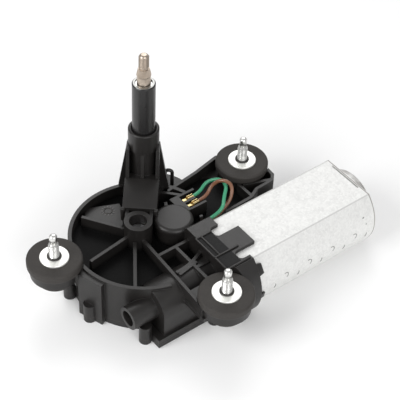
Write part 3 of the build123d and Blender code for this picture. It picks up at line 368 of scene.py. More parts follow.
# ---- finishes
class Sheet:
    """Lays out the nodes of one material on object coordinates."""

    def __init__(self, name: str) -> None:
        """Start a material with its shader and its coordinates."""
        self.material = bpy.data.materials.new(name)
        self.material.use_nodes = True
        self.tree = self.material.node_tree
        self.shader = self.tree.nodes["Principled BSDF"]
        self.coordinates = self.node("ShaderNodeTexCoord", "Object", {})

    def node(self, kind: str, output: str, inputs: dict, **settings: object) -> Socket:
        """Add one node.

        Args:
            kind: The node's type.
            output: Name of the output that is wanted.
            inputs: What its sockets take, plain values or outputs, by name or number.
            settings: Values for the node's own properties.

        Returns:
            The output.
        """
        node = self.tree.nodes.new(kind)
        for key, value in settings.items():
            setattr(node, key, value)
        for key, value in inputs.items():
            self.plug(value, node.inputs[key])
        return node.outputs[output]

    def plug(self, value: object, socket: Socket) -> None:
        """Fill an input socket.

        Args:
            value: A plain value, or an output to join.
            socket: The input socket.
        """
        if isinstance(value, Socket):
            self.tree.links.new(value, socket)
        else:
            socket.default_value = value

    def shade(self, **inputs: object) -> None:
        """Feed or set the shader's own sockets, with spaces written as underscores."""
        for name, value in inputs.items():
            self.plug(value, self.shader.inputs[name.replace("_", " ")])

    def stretched(self, stretch: Point) -> Socket:
        """The coordinates, stretched along each axis."""
        inputs = {"Vector": self.coordinates, "Scale": stretch}
        return self.node("ShaderNodeMapping", "Vector", inputs)

    def noise(self, grain: float, detail: float, stretch: Point | None = None) -> Socket:
        """Cloudy noise.

        Args:
            grain: Size of its patches in millimetres.
            detail: Levels of finer noise within them.
            stretch: How far the coordinates are stretched along each axis.

        Returns:
            The noise as a value.
        """
        source = self.stretched(stretch) if stretch else self.coordinates
        inputs = {"Vector": source, "Scale": 1.0 / (grain * MM), "Detail": detail}
        return self.node("ShaderNodeTexNoise", "Fac", inputs)

    def cells(self, size: float) -> Socket:
        """Cells of random colour, about one size across in millimetres."""
        inputs = {"Vector": self.coordinates, "Scale": 1.0 / (size * MM)}
        return self.node("ShaderNodeTexVoronoi", "Color", inputs)

    def ramp(self, value: Socket, start: Pair, end: Pair) -> Socket:
        """Map a value to grey levels.

        Args:
            value: The value.
            start: Value and grey level where the ramp starts.
            end: Value and grey level where it ends.

        Returns:
            The grey level.
        """
        grey = self.node("ShaderNodeValToRGB", "Color", {"Fac": value})
        for (place, level), element in zip((start, end), grey.node.color_ramp.elements):
            element.position = place
            element.color = (level, level, level, 1.0)
        return grey

    def blend(self, factor: Socket, first: Colour | Socket, second: Colour) -> Socket:
        """Go from one colour to another.

        Args:
            factor: How far to go, from nothing to one.
            first: The first colour, or an output that gives it.
            second: The second colour.

        Returns:
            The blended colour.
        """
        if isinstance(first, tuple):
            first = (*first, 1.0)
        inputs = {"Factor": factor, "A": first, "B": (*second, 1.0)}
        return self.node("ShaderNodeMix", "Result", inputs, data_type="RGBA")

    def maths(self, operation: str, first: Socket, second: Socket | float) -> Socket:
        """Join two values by an operation."""
        return self.node("ShaderNodeMath", "Value", {0: first, 1: second}, operation=operation)

    def height(self) -> Socket:
        """The height above the base in millimetres."""
        upright = self.node("ShaderNodeSeparateXYZ", "Z", {"Vector": self.coordinates})
        return self.maths("MULTIPLY", upright, 1.0 / MM)

    def fade(self, value: Socket, start: float, end: float) -> Socket:
        """One up to a start level of the value, falling evenly to nothing at an end level."""
        inputs = {"Value": value, "From Min": start, "From Max": end, "To Min": 1.0, "To Max": 0.0}
        return self.node("ShaderNodeMapRange", "Result", inputs, clamp=True)

    def near(self, place: Point, keep: Point, reach: Pair) -> Socket:
        """Mark the surface near a place.

        Args:
            place: The place in millimetres.
            keep: One for each axis that counts, nothing for the others.
            reach: Distances from it where the mark starts to fade and where it ends.

        Returns:
            One near the place and nothing far from it.
        """
        here = self.stretched(tuple(axis / MM for axis in keep))
        there = tuple(value * axis for value, axis in zip(place, keep))
        inputs = {0: here, 1: there}
        away = self.node("ShaderNodeVectorMath", "Value", inputs, operation="DISTANCE")
        return self.fade(away, *reach)

    def bump(self, height: Socket, depth: float, edge: float) -> None:
        """Raise the surface by a height map.

        Args:
            height: The map.
            depth: Its greatest height in millimetres.
            edge: Radius in millimetres to which edges look rounded.
        """
        inputs = {"Strength": 1.0, "Distance": depth * MM, "Height": height}
        if edge:
            radius = {"Radius": edge * MM}
            inputs["Normal"] = self.node("ShaderNodeBevel", "Normal", radius, samples=6)
        self.shade(Normal=self.node("ShaderNodeBump", "Normal", inputs))


@dataclass(frozen=True)
class Finish:
    """A mottled surface: two close colours, a spread of roughness and a fine grain."""

    name: str
    light: Colour
    dark: Colour
    metal: float = 0.0
    rough: Pair = (0.4, 0.55)
    patch: float = 6.0
    grain: float = 0.35
    depth: float = 0.01
    edge: float = 0.15

    def mottle(self, sheet: Sheet, detail: float = 5.0, stretch: Point | None = None) -> Socket:
        """The two colours in cloudy patches."""
        return sheet.blend(sheet.noise(self.patch, detail, stretch), self.dark, self.light)

    def texture(self, sheet: Sheet, grain: Socket) -> None:
        """Let the grain spread the roughness and raise the surface."""
        sheet.shade(Roughness=sheet.ramp(grain, (0.3, self.rough[0]), (0.7, self.rough[1])))
        sheet.bump(grain, self.depth, self.edge)

    def paint(self, sheet: Sheet) -> None:
        """Lay the colours and the texture."""
        sheet.shade(Base_Color=self.mottle(sheet))
        self.texture(sheet, sheet.noise(self.grain, detail=2.0))

    def build(self) -> bpy.types.Material:
        """Build the finish.

        Returns:
            Its material.
        """
        sheet = Sheet(self.name)
        sheet.shade(Metallic=self.metal)
        self.paint(sheet)
        return sheet.material


@dataclass(frozen=True)
class MouldedNylon(Finish):
    """Satin nylon with painted shade in its pockets: there its colour is painted near black and
    its specular turned down, standing in for the shadow that falls in them.

    A pocket is given by the plan place of its middle and its radius.
    """

    # colour of the painted shade in the pockets
    pocket_shade: Colour = (0.006, 0.006, 0.006)
    floor: Pair = (25.6, 28.2)
    pockets: tuple[Point, ...] = ((-23.7, -32.7, 41.0), (30.0, -29.0, 20.0))
    rim: Pair = (-0.6, 0.4)
    # specular level outside the pockets and within them, lowered within them as part of the
    # painted shade
    shade_specular: Pair = (0.45, 0.05)

    def paint(self, sheet: Sheet) -> None:
        """Lay the colours and paint shade into the pockets."""
        colour = self.mottle(sheet)
        low = sheet.fade(sheet.height(), *self.floor)
        within = None
        for x, y, radius in self.pockets:
            reach = (radius + self.rim[0], radius + self.rim[1])
            near = sheet.near((x, y, 0.0), (1.0, 1.0, 0.0), reach)
            within = near if within is None else sheet.maths("MAXIMUM", within, near)
        # painted shade: one in the pockets below the floor height, fading to nothing above it and
        # outside them
        shade = sheet.maths("MULTIPLY", low, within)
        sheen = sheet.ramp(shade, (0.0, self.shade_specular[0]), (1.0, self.shade_specular[1]))
        colour = sheet.blend(shade, colour, self.pocket_shade)
        sheet.shade(Base_Color=colour, Specular_IOR_Level=sheen)
        self.texture(sheet, sheet.noise(self.grain, detail=2.0))


@dataclass(frozen=True)
class SpangledZinc(Finish):
    """Galvanised sheet: small crystals of slightly different grey, with painted shade along its
    creases and a painted shadow line at its fold.

    A crease runs along the can at a place given across it and in height. The fold is the edge
    of the end face, and the nose is the small round end beyond it.
    """

    crystal: float = 1.1
    crystal_greys: tuple[Pair, Pair] = ((0.1, 0.2), (0.8, 1.0))
    mist: float = 5.0
    blot: float = 4.2
    blot_greys: tuple[Pair, Pair] = ((0.40, 0.25), (0.64, 0.70))
    # painted shade: the grey laid along each crease
    crease: Colour = (0.58, 0.58, 0.57)
    # colour of the blotches on the nose, also used for the painted shadow line at the fold
    stain_and_shadow: Colour = (0.22, 0.20, 0.185)
    fold_x: float = 98.75
    nose_x: float = 102.6
    creases: tuple[Pair, ...] = ((-87.53, 38.4), (-51.87, 38.4), (-87.53, 0.0), (-51.87, 0.0))
    crease_reach: Pair = (0.15, 0.7)
    fold_reach: Pair = (0.1, 0.4)
    nose_reach: Pair = (2.2, 2.9)

    def paint(self, sheet: Sheet) -> None:
        """Lay the crystals, the painted shade of the creases, the painted shadow at the fold and
        the blotches on the nose.
        """
        crystals = sheet.cells(self.crystal)
        greys = sheet.ramp(crystals, *self.crystal_greys)
        tone = sheet.maths("MULTIPLY", greys, sheet.noise(self.mist, detail=4.0))
        colour = sheet.blend(tone, self.light, self.dark)
        # painted shade along each crease
        for y, z in self.creases:
            near = sheet.near((0.0, y, z), (0.0, 1.0, 1.0), self.crease_reach)
            colour = sheet.blend(near, colour, self.crease)
        lengthways = (1.0, 0.0, 0.0)
        # painted shadow: a dark line round the fold at the can's end
        fold = sheet.near((self.fold_x, 0.0, 0.0), lengthways, self.fold_reach)
        colour = sheet.blend(fold, colour, self.stain_and_shadow)
        nose = sheet.near((self.nose_x, 0.0, 0.0), lengthways, self.nose_reach)
        cloud = sheet.ramp(sheet.noise(self.blot, detail=6.0), *self.blot_greys)
        colour = sheet.blend(sheet.maths("MULTIPLY", nose, cloud), colour, self.stain_and_shadow)
        levels = sheet.ramp(crystals, (0.0, self.rough[0]), (1.0, self.rough[1]))
        sheet.shade(Base_Color=colour, Roughness=levels)
        sheet.bump(sheet.noise(self.grain, detail=4.0), self.depth, self.edge)


@dataclass(frozen=True)
class TippedCoating(Finish):
    """A coated tube whose top edge is bare, bright metal above a set height."""

    bare: Colour = (0.36, 0.36, 0.35)
    bare_from: float = 110.42

    def paint(self, sheet: Sheet) -> None:
        """Lay the coat and bare its tip."""
        coat = self.mottle(sheet, stretch=(1.0, 1.0, 0.3))
        tip = sheet.maths("GREATER_THAN", sheet.height(), self.bare_from)
        sheet.shade(Base_Color=sheet.blend(tip, coat, self.bare), Metallic=tip)
        self.texture(sheet, sheet.noise(self.grain, detail=2.0))


@dataclass(frozen=True)
class Drawn(Finish):
    """Metal with fine lines left by turning or drawing, close together along one axis."""

    stretch: Point = (1.0, 1.0, 30.0)
    line: float = 12.0

    def paint(self, sheet: Sheet) -> None:
        """Lay the colours and the lines."""
        sheet.shade(Base_Color=self.mottle(sheet, detail=4.0))
        self.texture(sheet, sheet.noise(self.grain * self.line, detail=3.0, stretch=self.stretch))


class Surface(Enum):
    """Every finish on the motor.

    A line gives the name, the light and the dark colour, then the metal, the spread of
    roughness, and the patch, grain, depth and edge in millimetres.
    """

    NYLON = MouldedNylon(
        "glass_filled_nylon", (0.018, 0.0162, 0.015), (0.009, 0.0083, 0.008),
        0.0, (0.33, 0.46), 9.0, 0.5, 0.012, 0.35,
    )
    CASTING = Finish(
        "black_coated_casting", (0.016, 0.015, 0.015), (0.01, 0.01, 0.01),
        0.0, (0.42, 0.56), 7.0, 0.6, 0.02, 0.3,
    )
    RUBBER = Finish(
        "moulded_rubber", (0.037, 0.033, 0.029), (0.025, 0.022, 0.02),
        0.0, (0.62, 0.8), 3.0, 0.4, 0.03, 0.2,
    )
    GALVANISED = SpangledZinc(
        "galvanised_sheet", (0.82, 0.82, 0.805), (0.64, 0.64, 0.63),
        0.25, (0.5, 0.66), 6.0, 0.5, 0.006, 0.3,
    )
    COATED = TippedCoating(
        "coated_tube", (0.017, 0.016, 0.016), (0.01, 0.01, 0.01),
        0.0, (0.26, 0.36), 8.0, 0.4, 0.006, 0.2,
    )
    ZINC = Finish(
        "bright_zinc", (0.86, 0.86, 0.84), (0.72, 0.72, 0.7),
        1.0, (0.24, 0.36), 4.0, 0.3, 0.004, 0.12,
    )
    WASHER = Finish(
        "white_zinc", (0.95, 0.95, 0.92), (0.88, 0.88, 0.84),
        0.55, (0.34, 0.44), 4.0, 0.3, 0.003, 0.12,
    )
    SPINDLE = Drawn(
        "nickelled_steel", (0.58, 0.5, 0.42), (0.34, 0.28, 0.23),
        0.95, (0.26, 0.4), 2.2, 0.3, 0.006, 0.1,
    )
    STEEL = Drawn(
        "ground_steel", (0.66, 0.66, 0.67), (0.55, 0.55, 0.56),
        1.0, (0.25, 0.38), 5.0, 0.2, 0.003, 0.1, (30.0, 1.0, 1.0),
    )
    SINTERED = Finish(
        "sintered_steel", (0.46, 0.46, 0.47), (0.34, 0.34, 0.35),
        1.0, (0.42, 0.6), 3.0, 0.25, 0.012, 0.12,
    )
    LAMINATION = Drawn(
        "stamped_laminations", (0.34, 0.34, 0.35), (0.22, 0.22, 0.23),
        0.9, (0.4, 0.6), 5.0, 0.25, 0.02, 0.0, (40.0, 1.0, 1.0),
    )
    BRASS = Finish(
        "pressed_brass", (0.8, 0.66, 0.36), (0.62, 0.46, 0.2),
        1.0, (0.24, 0.38), 2.5, 0.2, 0.004, 0.08,
    )
    BRONZE = Finish(
        "sintered_bronze", (0.62, 0.46, 0.25), (0.46, 0.33, 0.17),
        1.0, (0.38, 0.55), 2.0, 0.2, 0.01, 0.1,
    )
    COPPER = Drawn(
        "enamelled_copper", (0.66, 0.3, 0.13), (0.42, 0.17, 0.07),
        0.8, (0.22, 0.36), 3.0, 0.25, 0.03, 0.0, (6.0, 30.0, 1.0),
    )
    BARS = Drawn(
        "commutator_bars", (0.8, 0.46, 0.28), (0.62, 0.32, 0.18),
        1.0, (0.26, 0.42), 3.0, 0.2, 0.004, 0.08, (30.0, 1.0, 1.0),
    )
    FERRITE = Finish(
        "ground_ferrite", (0.13, 0.13, 0.14), (0.08, 0.08, 0.09),
        0.2, (0.45, 0.65), 4.0, 0.3, 0.02, 0.2,
    )
    CARBON = Finish(
        "pressed_carbon", (0.07, 0.07, 0.07), (0.04, 0.04, 0.04),
        0.3, (0.35, 0.55), 2.0, 0.2, 0.01, 0.1,
    )
    PHENOLIC = Finish(
        "phenolic_board", (0.2, 0.12, 0.06), (0.13, 0.08, 0.04),
        0.0, (0.35, 0.5), 3.0, 0.3, 0.006, 0.1,
    )
    ACETAL = Finish(
        "moulded_acetal", (0.82, 0.8, 0.72), (0.72, 0.69, 0.6),
        0.0, (0.34, 0.46), 8.0, 0.6, 0.008, 0.2,
    )
    RING = Finish(
        "dark_foot_ring", (0.03, 0.027, 0.024), (0.018, 0.016, 0.015),
        0.0, (0.35, 0.5), 1.5, 0.3, 0.006, 0.0,
    )
    # painted shade: near-black finish for the sheet in the collar roof's pockets
    SHADED = Finish(
        "shade_sheet_paint", (0.008, 0.008, 0.008), (0.004, 0.004, 0.004),
        0.0, (0.75, 0.9), 4.0, 0.5, 0.01, 0.0,
    )
    # painted highlight: nylon lighter than the housing, for the mould mark's raised strokes
    SCUFFED = Finish(
        "mark_highlight_nylon", (0.075, 0.07, 0.066), (0.045, 0.042, 0.04),
        0.0, (0.3, 0.44), 2.0, 0.3, 0.01, 0.0,
    )
    # painted shade: dark grey for the stake marks on the can, standing in for the shade in the
    # dents
    PRESSED = Finish(
        "stake_mark_shade", (0.36, 0.36, 0.35), (0.24, 0.24, 0.235),
        0.6, (0.45, 0.6), 1.5, 0.3, 0.004, 0.0,
    )
    GREEN = Finish(
        "green_insulation", (0.21, 0.45, 0.345), (0.16, 0.37, 0.275),
        0.0, (0.36, 0.48), 5.0, 0.5, 0.006, 0.0,
    )
    BROWN = Finish(
        "brown_insulation", (0.6, 0.275, 0.12), (0.49, 0.215, 0.09),
        0.0, (0.36, 0.48), 5.0, 0.5, 0.006, 0.0,
    )

    def material(self) -> bpy.types.Material:
        """The one material of this finish, built when it is first asked for."""
        known = bpy.data.materials.get(self.value.name)
        return known or self.value.build()


CAD_SURFACES = {
    Surface.NYLON: ["gear_housing"],
    Surface.CASTING: ["bottom_cover"],
    Surface.RUBBER: ["cover_seal", "grommet_left", "grommet_front", "grommet_rear"],
    Surface.GALVANISED: ["motor_can"],
    Surface.COATED: ["spindle_tube"],
    Surface.WASHER: ["sleeve_left", "sleeve_front", "sleeve_rear"],
    Surface.ZINC: ["spindle_clip"],
    Surface.STEEL: ["armature_shaft", "wheel_shaft", "crank_pin", "link_pin", "ball_bearing"],
    Surface.SINTERED: ["output_pinion", "toothed_conrod", "guide_link"],
    Surface.LAMINATION: ["armature_core"],
    Surface.BRONZE: ["lower_bush", "upper_bush", "wheel_bush", "rear_bush", "nose_bush"],
    Surface.COPPER: ["armature_windings"],
    Surface.BARS: ["commutator"],
    Surface.FERRITE: ["magnets"],
    Surface.CARBON: ["brushes"],
    Surface.PHENOLIC: ["brush_plate"],
    Surface.ACETAL: ["worm_wheel", "thrust_plug"],
}


def dress(obj: Piece, surface: Surface) -> None:
    """Give a piece one finish in place of any it has."""
    obj.data.materials.clear()
    obj.data.materials.append(surface.material())


def place_on(obj: Piece, body: Body, slot: str, *nodes: str) -> None:
    """Make a finished piece ride on a body and stand for the CAD nodes it replaces.

    Args:
        obj: The finished piece.
        body: The body it moves with.
        slot: The record's material slot; not used.
        nodes: CAD nodes that it stands for.
    """
    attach(obj, body.value)
    if nodes:
        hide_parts(*nodes)
    LOG.info("%s: %d faces on %s", obj.name, len(getattr(obj.data, "polygons", ())), body.value)


def complete(
    parts: list[Piece], name: str, surface: Surface, slot: str, *nodes: str
) -> None:
    """Join the parts of a piece on the housing, then smooth, dress and place the whole.

    Args:
        parts: Meshes that make up the piece.
        name: Name of the piece.
        surface: Its finish.
        slot: The record's material slot.
        nodes: CAD nodes that it stands for.
    """
    whole = join(parts, name)
    smooth(whole)
    dress(whole, surface)
    place_on(whole, Body.HOUSING, slot, *nodes)


def hold(name: str, data: bpy.types.ID) -> Piece:
    """Put a curve, a lamp or a camera into the scene.

    Args:
        name: Name of its object.
        data: The curve, lamp or camera.

    Returns:
        The object that holds it.
    """
    obj = bpy.data.objects.new(name, data)
    bpy.context.scene.collection.objects.link(obj)
    return obj


# ---- sub-assemblies
@dataclass(frozen=True)
class MountingStuds:
    """Three studs through the rubber mounts: flange, shank, thread and a bare lead tip."""

    left: Pair = (-76.7, -22.5)
    front: Pair = (-15.3, -98.5)
    rear: Pair = (57.5, -20.7)
    flange_r: float = 8.0
    flange_z: Pair = (18.0, 20.1)
    shank_r: float = 3.5
    root_r: float = 2.74
    pitch: float = 0.8
    thread: Pair = (37.9, 48.1)
    thread_depth: float = 0.26
    ring_line: float = 0.72
    ring_z: float = 38.75
    neck_r: float = 1.9
    tip_r: float = 2.25
    tip_z: float = 55.1

    def stations(self) -> list[Pair]:
        """Draw one stud.

        Returns:
            Its rings from the flange to the rounded tip.
        """
        start, end = self.thread
        low, high = self.flange_z
        flange = [(self.flange_r - 0.4, low), (self.flange_r, low + 0.4), (self.flange_r, high)]
        shank = [(self.shank_r, high + 0.2), (self.shank_r, start)]
        thread = [(self.root_r, start + 0.3), (self.root_r, end)]
        neck = [(self.neck_r, end + 0.5), (self.neck_r, end + 1.2)]
        lead = [(self.tip_r, end + 1.8), (self.tip_r, self.tip_z - 1.3)]
        rounding = ((0.86, 0.6), (0.55, 0.15), (0.2, 0.0))
        tip = [(self.tip_r * part, self.tip_z - below) for part, below in rounding]
        return flange + shank + thread + neck + lead + tip

    def add_rings(self) -> None:
        """A dark ring round each stud's foot."""
        radius = self.root_r + self.ring_line
        first = add_ring("ring", (*self.left, self.ring_z), radius, self.ring_line, (40, 14))
        steps = (self.step(place) for place in (self.front, self.rear))
        others = (copy_to(first, "ring_copy", step) for step in steps)
        complete([first, *others], "stud_rings", Surface.RING, "grommet_rubber")

    def step(self, place: Pair) -> Point:
        """The way from the left mount to another."""
        return (place[0] - self.left[0], place[1] - self.left[1], 0.0)

    def build(self) -> None:
        """Model the left stud and copy it to the other mounts."""
        shank = turned("stud_shank", self.left, self.stations())
        ridge = coiled_ridge(
            "stud_ridge", self.left, self.root_r, self.thread, self.pitch, self.thread_depth
        )
        first = join([shank, ridge], "threaded_stud_left")
        smooth(first)
        dress(first, Surface.ZINC)
        self.add_rings()
        front = copy_to(first, "threaded_stud_front", self.step(self.front))
        rear = copy_to(first, "threaded_stud_rear", self.step(self.rear))
        for name, stud in {"left": first, "front": front, "rear": rear}.items():
            place_on(stud, Body.HOUSING, "stud_zinc", f"stud_{name}")


@dataclass(frozen=True)
class OutputSpindle:
    """The wiper spindle: smooth journal, knurled cone, relief and threaded end."""

    radius: float = 4.0
    bottom: float = 4.2
    clip_z: float = 109.5
    clip_t: float = 0.9
    cone: Pair = (4.15, 3.2)
    neck_r: float = 3.92
    cone_z: Pair = (116.2, 120.6)
    flute: float = 0.22
    sides: int = 96
    thread_root_r: float = 2.62
    thread_depth: float = 0.32
    pitch: float = 0.8
    tip_z: float = 129.9

    def stations(self) -> list[Pair]:
        """Draw the spindle.

        Returns:
            Its rings from the lower end to the tip.
        """
        low, high = self.cone_z
        start, end = self.clip_z - self.clip_t / 2, self.clip_z + self.clip_t / 2
        sunk, root, tip = self.radius - 0.5, self.thread_root_r, self.tip_z
        journal = [(self.radius - 0.4, self.bottom), (self.radius, self.bottom + 0.4)]
        groove = [(self.radius, start), (sunk, start), (sunk, end), (self.radius, end)]
        neck = [(self.radius, end + 0.8), (self.neck_r, end + 1.1), (self.neck_r, low - 0.5)]
        cone = [(self.cone[0], low), (self.cone[1], high), (root, high + 0.05)]
        end_rings = [(root, tip - 1.0), (root - 0.5, tip - 0.3), (root - 1.1, tip)]
        return journal + groove + neck + cone + end_rings

    def on_valley(self, co: Vector) -> bool:
        """Find the bottoms of the cone's flutes.

        Args:
            co: A point's place in metres.

        Returns:
            Whether the point lies on the bottom of a flute.
        """
        low, high = self.cone_z
        level = (low - 0.1) * MM <= co.z <= (high + 0.02) * MM
        if not level or co.xy.length < (self.cone[1] - 0.1) * MM:
            return False
        return round(math.atan2(co.y, co.x) / (2 * math.pi) * self.sides) % 2 == 0

    def build(self) -> None:
        """Model the spindle, cut its knurl and wind its thread."""
        shaft = turned("spindle_shaft", (0.0, 0.0), self.stations(), sides=self.sides)
        pull = 1.0 - self.flute / self.cone[0]
        resize(shaft, (pull, pull, 1.0), (0.0, 0.0, 0.0), self.on_valley)
        span = (self.cone_z[1] + 0.9, self.tip_z - 1.2)
        ridge = coiled_ridge(
            "spindle_ridge", (0.0, 0.0), self.thread_root_r, span, self.pitch, self.thread_depth
        )
        spindle = join([shaft, ridge], "knurled_spindle")
        smooth(spindle, angle=20.0)
        dress(spindle, Surface.SPINDLE)
        place_on(spindle, Body.SPINDLE, "spindle_steel", "output_spindle")


@dataclass(frozen=True)
class Wire:
    """One insulated wire from its terminal round to the collar's opening."""

    node: str
    surface: Surface
    slot: str
    length: float
    route: tuple[Point, ...]
    radius: float = 1.08

    def build(self) -> None:
        """Draw the wire as one open curve with a round section."""
        curve = bpy.data.curves.new(f"{self.node}_run", "CURVE")
        curve.dimensions = "3D"
        spline = curve.splines.new("NURBS")
        spline.points.add(len(self.route) - 1)
        for point, place in zip(spline.points, self.route):
            point.co = (*scaled(place), 1.0)
        spline.order_u = 3
        spline.use_endpoint_u = True
        curve.resolution_u = 16
        curve.bevel_depth = self.radius * MM
        curve.bevel_resolution = 6
        curve.use_fill_caps = True
        obj = hold(f"{self.node}_run", curve)
        dress(obj, self.surface)
        place_on(obj, Body.HOUSING, self.slot, self.node)


@dataclass(frozen=True)
class CrimpTerminals:
    """Two crimped terminals that hold the wires' ends in the terminal block."""

    lanes: tuple[tuple[str, float], ...] = (("green", -25.2), ("brown", -30.2))
    level: float = 33.6
    box_x: Pair = (9.5, 12.9)
    box_height: float = 1.7
    box_half: float = 1.1
    wings_x: Pair = (13.2, 17.3)
    base_half: float = 1.0
    barrel_r: float = 1.45
    seam_level: float = 0.93
    seam_spread: float = 1.9
    sheet: float = 0.3

    def barrel(self, lane: float) -> Piece:
        """Roll one barrel, with an open seam along its top.

        Args:
            lane: How far across the block it lies.

        Returns:
            The barrel.
        """
        length = self.wings_x[1] - self.wings_x[0]
        place = scaled((sum(self.wings_x) / 2, lane, self.level))
        bpy.ops.mesh.primitive_cylinder_add(
            vertices=24,
            radius=self.barrel_r * MM,
            depth=length * MM,
            end_fill_type="NOTHING",
            location=place,
            rotation=(0.0, math.pi / 2, 0.0),
        )
        obj = named("terminal_barrel")
        seam = (self.level + self.barrel_r * self.seam_level) * MM
        choose_points(obj, lambda co: co.z > seam)
        bpy.ops.transform.resize(value=(1.0, self.seam_spread, 1.0), center_override=place)
        bpy.ops.mesh.delete(type="ONLY_FACE")
        bpy.ops.object.mode_set(mode="OBJECT")
        modify(obj, "SOLIDIFY", thickness=self.sheet * MM, offset=0.0)
        edit(obj)
        close_edit()
        return obj

    def build(self) -> None:
        """Model each terminal: blade, box end and barrel."""
        low = self.level - self.barrel_r
        start, box_end = self.box_x
        base = (self.wings_x[1], self.base_half, self.sheet)
        box = (box_end, self.box_half, self.box_height)
        for colour, lane in self.lanes:
            parts = []
            for end, half, rise in (base, box):
                corner, far = (start, lane - half, low), (end, lane + half, low + rise)
                parts.append(add_box("terminal_part", corner, far))
            soften(parts[1], 0.25)
            parts.append(self.barrel(lane))
            name = f"crimp_terminal_{colour}"
            complete(parts, name, Surface.BRASS, "terminal_tin", f"terminal_{colour}")


@dataclass(frozen=True)
class CoverScrews:
    """Six pan head screws with a cross recess that hold the bottom cover."""

    places: tuple[Pair, ...] = (
        (-67.8, -22.2), (-68.2, -43.4), (-52.2, -74.6),
        (-12.5, -86.2), (-33.4, 11.4), (24.6, -20.4),
    )
    head_r: float = 2.9
    shank_r: float = 1.45
    length: float = 10.6
    recess: float = 0.9
    slot: Pair = (1.5, 0.3)

    def build(self) -> None:
        """Model one screw, sink its recess and copy it to every place."""
        x, y = self.places[0]
        crown = [(self.head_r * 0.35, 0.15), (self.head_r * 0.8, 0.2)]
        head = [(self.head_r, 0.9), (self.head_r, 1.7)]
        shank = [(self.shank_r, 1.8), (self.shank_r, self.length - 1.0)]
        tip = [(self.shank_r * 0.5, self.length)]
        first = turned("cover_screw_1", (x, y), crown + head + shank + tip, sides=32)
        for half_x, half_y in (self.slot, self.slot[::-1]):
            low = (x - half_x, y - half_y, -1.0)
            arm = add_box("recess_arm", low, (x + half_x, y + half_y, self.recess))
            modify(first, "BOOLEAN", operation="DIFFERENCE", solver="EXACT", object=arm)
            pick(arm)
            bpy.ops.object.delete()
        smooth(first)
        dress(first, Surface.ZINC)
        screws = [first]
        for number, (next_x, next_y) in enumerate(self.places[1:], start=2):
            screws.append(copy_to(first, f"cover_screw_{number}", (next_x - x, next_y - y, 0.0)))
        place_on(first, Body.HOUSING, "screw_steel", "cover_screws")
        for screw in screws[1:]:
            place_on(screw, Body.HOUSING, "screw_steel")


@dataclass(frozen=True)
class CanMarks:
    """Crescents and pits pressed into the can's side when the magnets are staked, painted dark
    grey as the shade in the dents.
    """

    radius: float = 26.2
    first_x: float = 21.6
    pitch: float = 17.4
    crescents: int = 9
    offset: Pair = (8.9, 3.6)
    low_z: float = 15.8
    ring_r: float = 2.0
    line_r: float = 0.28
    opening: Point = (-0.9, 0.0, -0.45)
    flat: float = 0.45
    pits: tuple[Point, ...] = ((90.2, 29.0, 0.75), (92.1, 24.1, 0.5))
    pit_flat: float = 0.2

    def side_y(self, z: float) -> float:
        """Where the can's front side lies at a level."""
        return CAN_AXIS_Y - math.sqrt(self.radius**2 - (z - CAN_AXIS_Z) ** 2)

    def crescent(self) -> Piece:
        """Press the first crescent.

        Returns:
            The crescent, open towards its lower left.
        """
        place = (self.first_x, self.side_y(self.low_z), self.low_z)
        upright = (math.pi / 2, 0.0, 0.0)
        obj = add_ring("pressed_crescent", place, self.ring_r, self.line_r, (28, 8), upright)
        cut_off(obj, place, self.opening, fill=True)
        resize(obj, (1.0, self.flat, 1.0), place)
        return obj

    def build(self) -> None:
        """Press the crescents in pairs along the can, then the pits at its end."""
        marks = [self.crescent()]
        for number in range(1, self.crescents):
            along, rise = self.offset if number % 2 else (0.0, 0.0)
            x = self.pitch * (number // 2) + along
            step = (x, self.side_y(self.low_z + rise) - self.side_y(self.low_z), rise)
            marks.append(copy_to(marks[0], f"pressed_crescent_{number}", step))
        for x, z, radius in self.pits:
            place = (x, self.side_y(z), z)
            bpy.ops.mesh.primitive_uv_sphere_add(
                segments=16, ring_count=8, radius=radius * MM, location=scaled(place)
            )
            marks.append(named("pressed_pit"))
            resize(marks[-1], (1.0, self.pit_flat, 1.0), place)
        # painted shade: the marks are dark grey, standing in for the shade inside the dents
        complete(marks, "can_stake_marks", Surface.PRESSED, "can_steel")


@dataclass(frozen=True)
class CollarClips:
    """Small moulded hooks that reach from the collar over the can's front side."""

    radius: float = 26.3
    x_span: Pair = (9.8, 14.6)
    height: float = 1.5
    spans: tuple[Pair, ...] = ((140.0, 158.0), (183.0, 196.0))
    taper: Point = (1.0, 0.8, 0.72)

    def hook(self, start: float, end: float) -> Piece:
        """Mould one hook that follows the can's round side.

        Args:
            start: Angle in degrees where it starts.
            end: Angle in degrees where it ends.

        Returns:
            The hook.
        """
        turn = math.radians((start + end) / 2)
        width = self.radius * math.radians(end - start)
        reach = self.radius + self.height / 2
        y = CAN_AXIS_Y + reach * math.cos(turn)
        z = CAN_AXIS_Z + reach * math.sin(turn)
        middle = (sum(self.x_span) / 2, y, z)
        size = (self.x_span[1] - self.x_span[0], self.height, width)
        obj = add_block("collar_hook", middle, size, (turn, 0.0, 0.0))
        resize(obj, self.taper, middle, lambda co: co.x > middle[0] * MM)
        soften(obj, 0.35)
        return obj

    def build(self) -> None:
        """Build both hooks as one moulded piece."""
        hooks = [self.hook(*span) for span in self.spans]
        complete(hooks, "collar_hooks", Surface.NYLON, "housing_nylon")


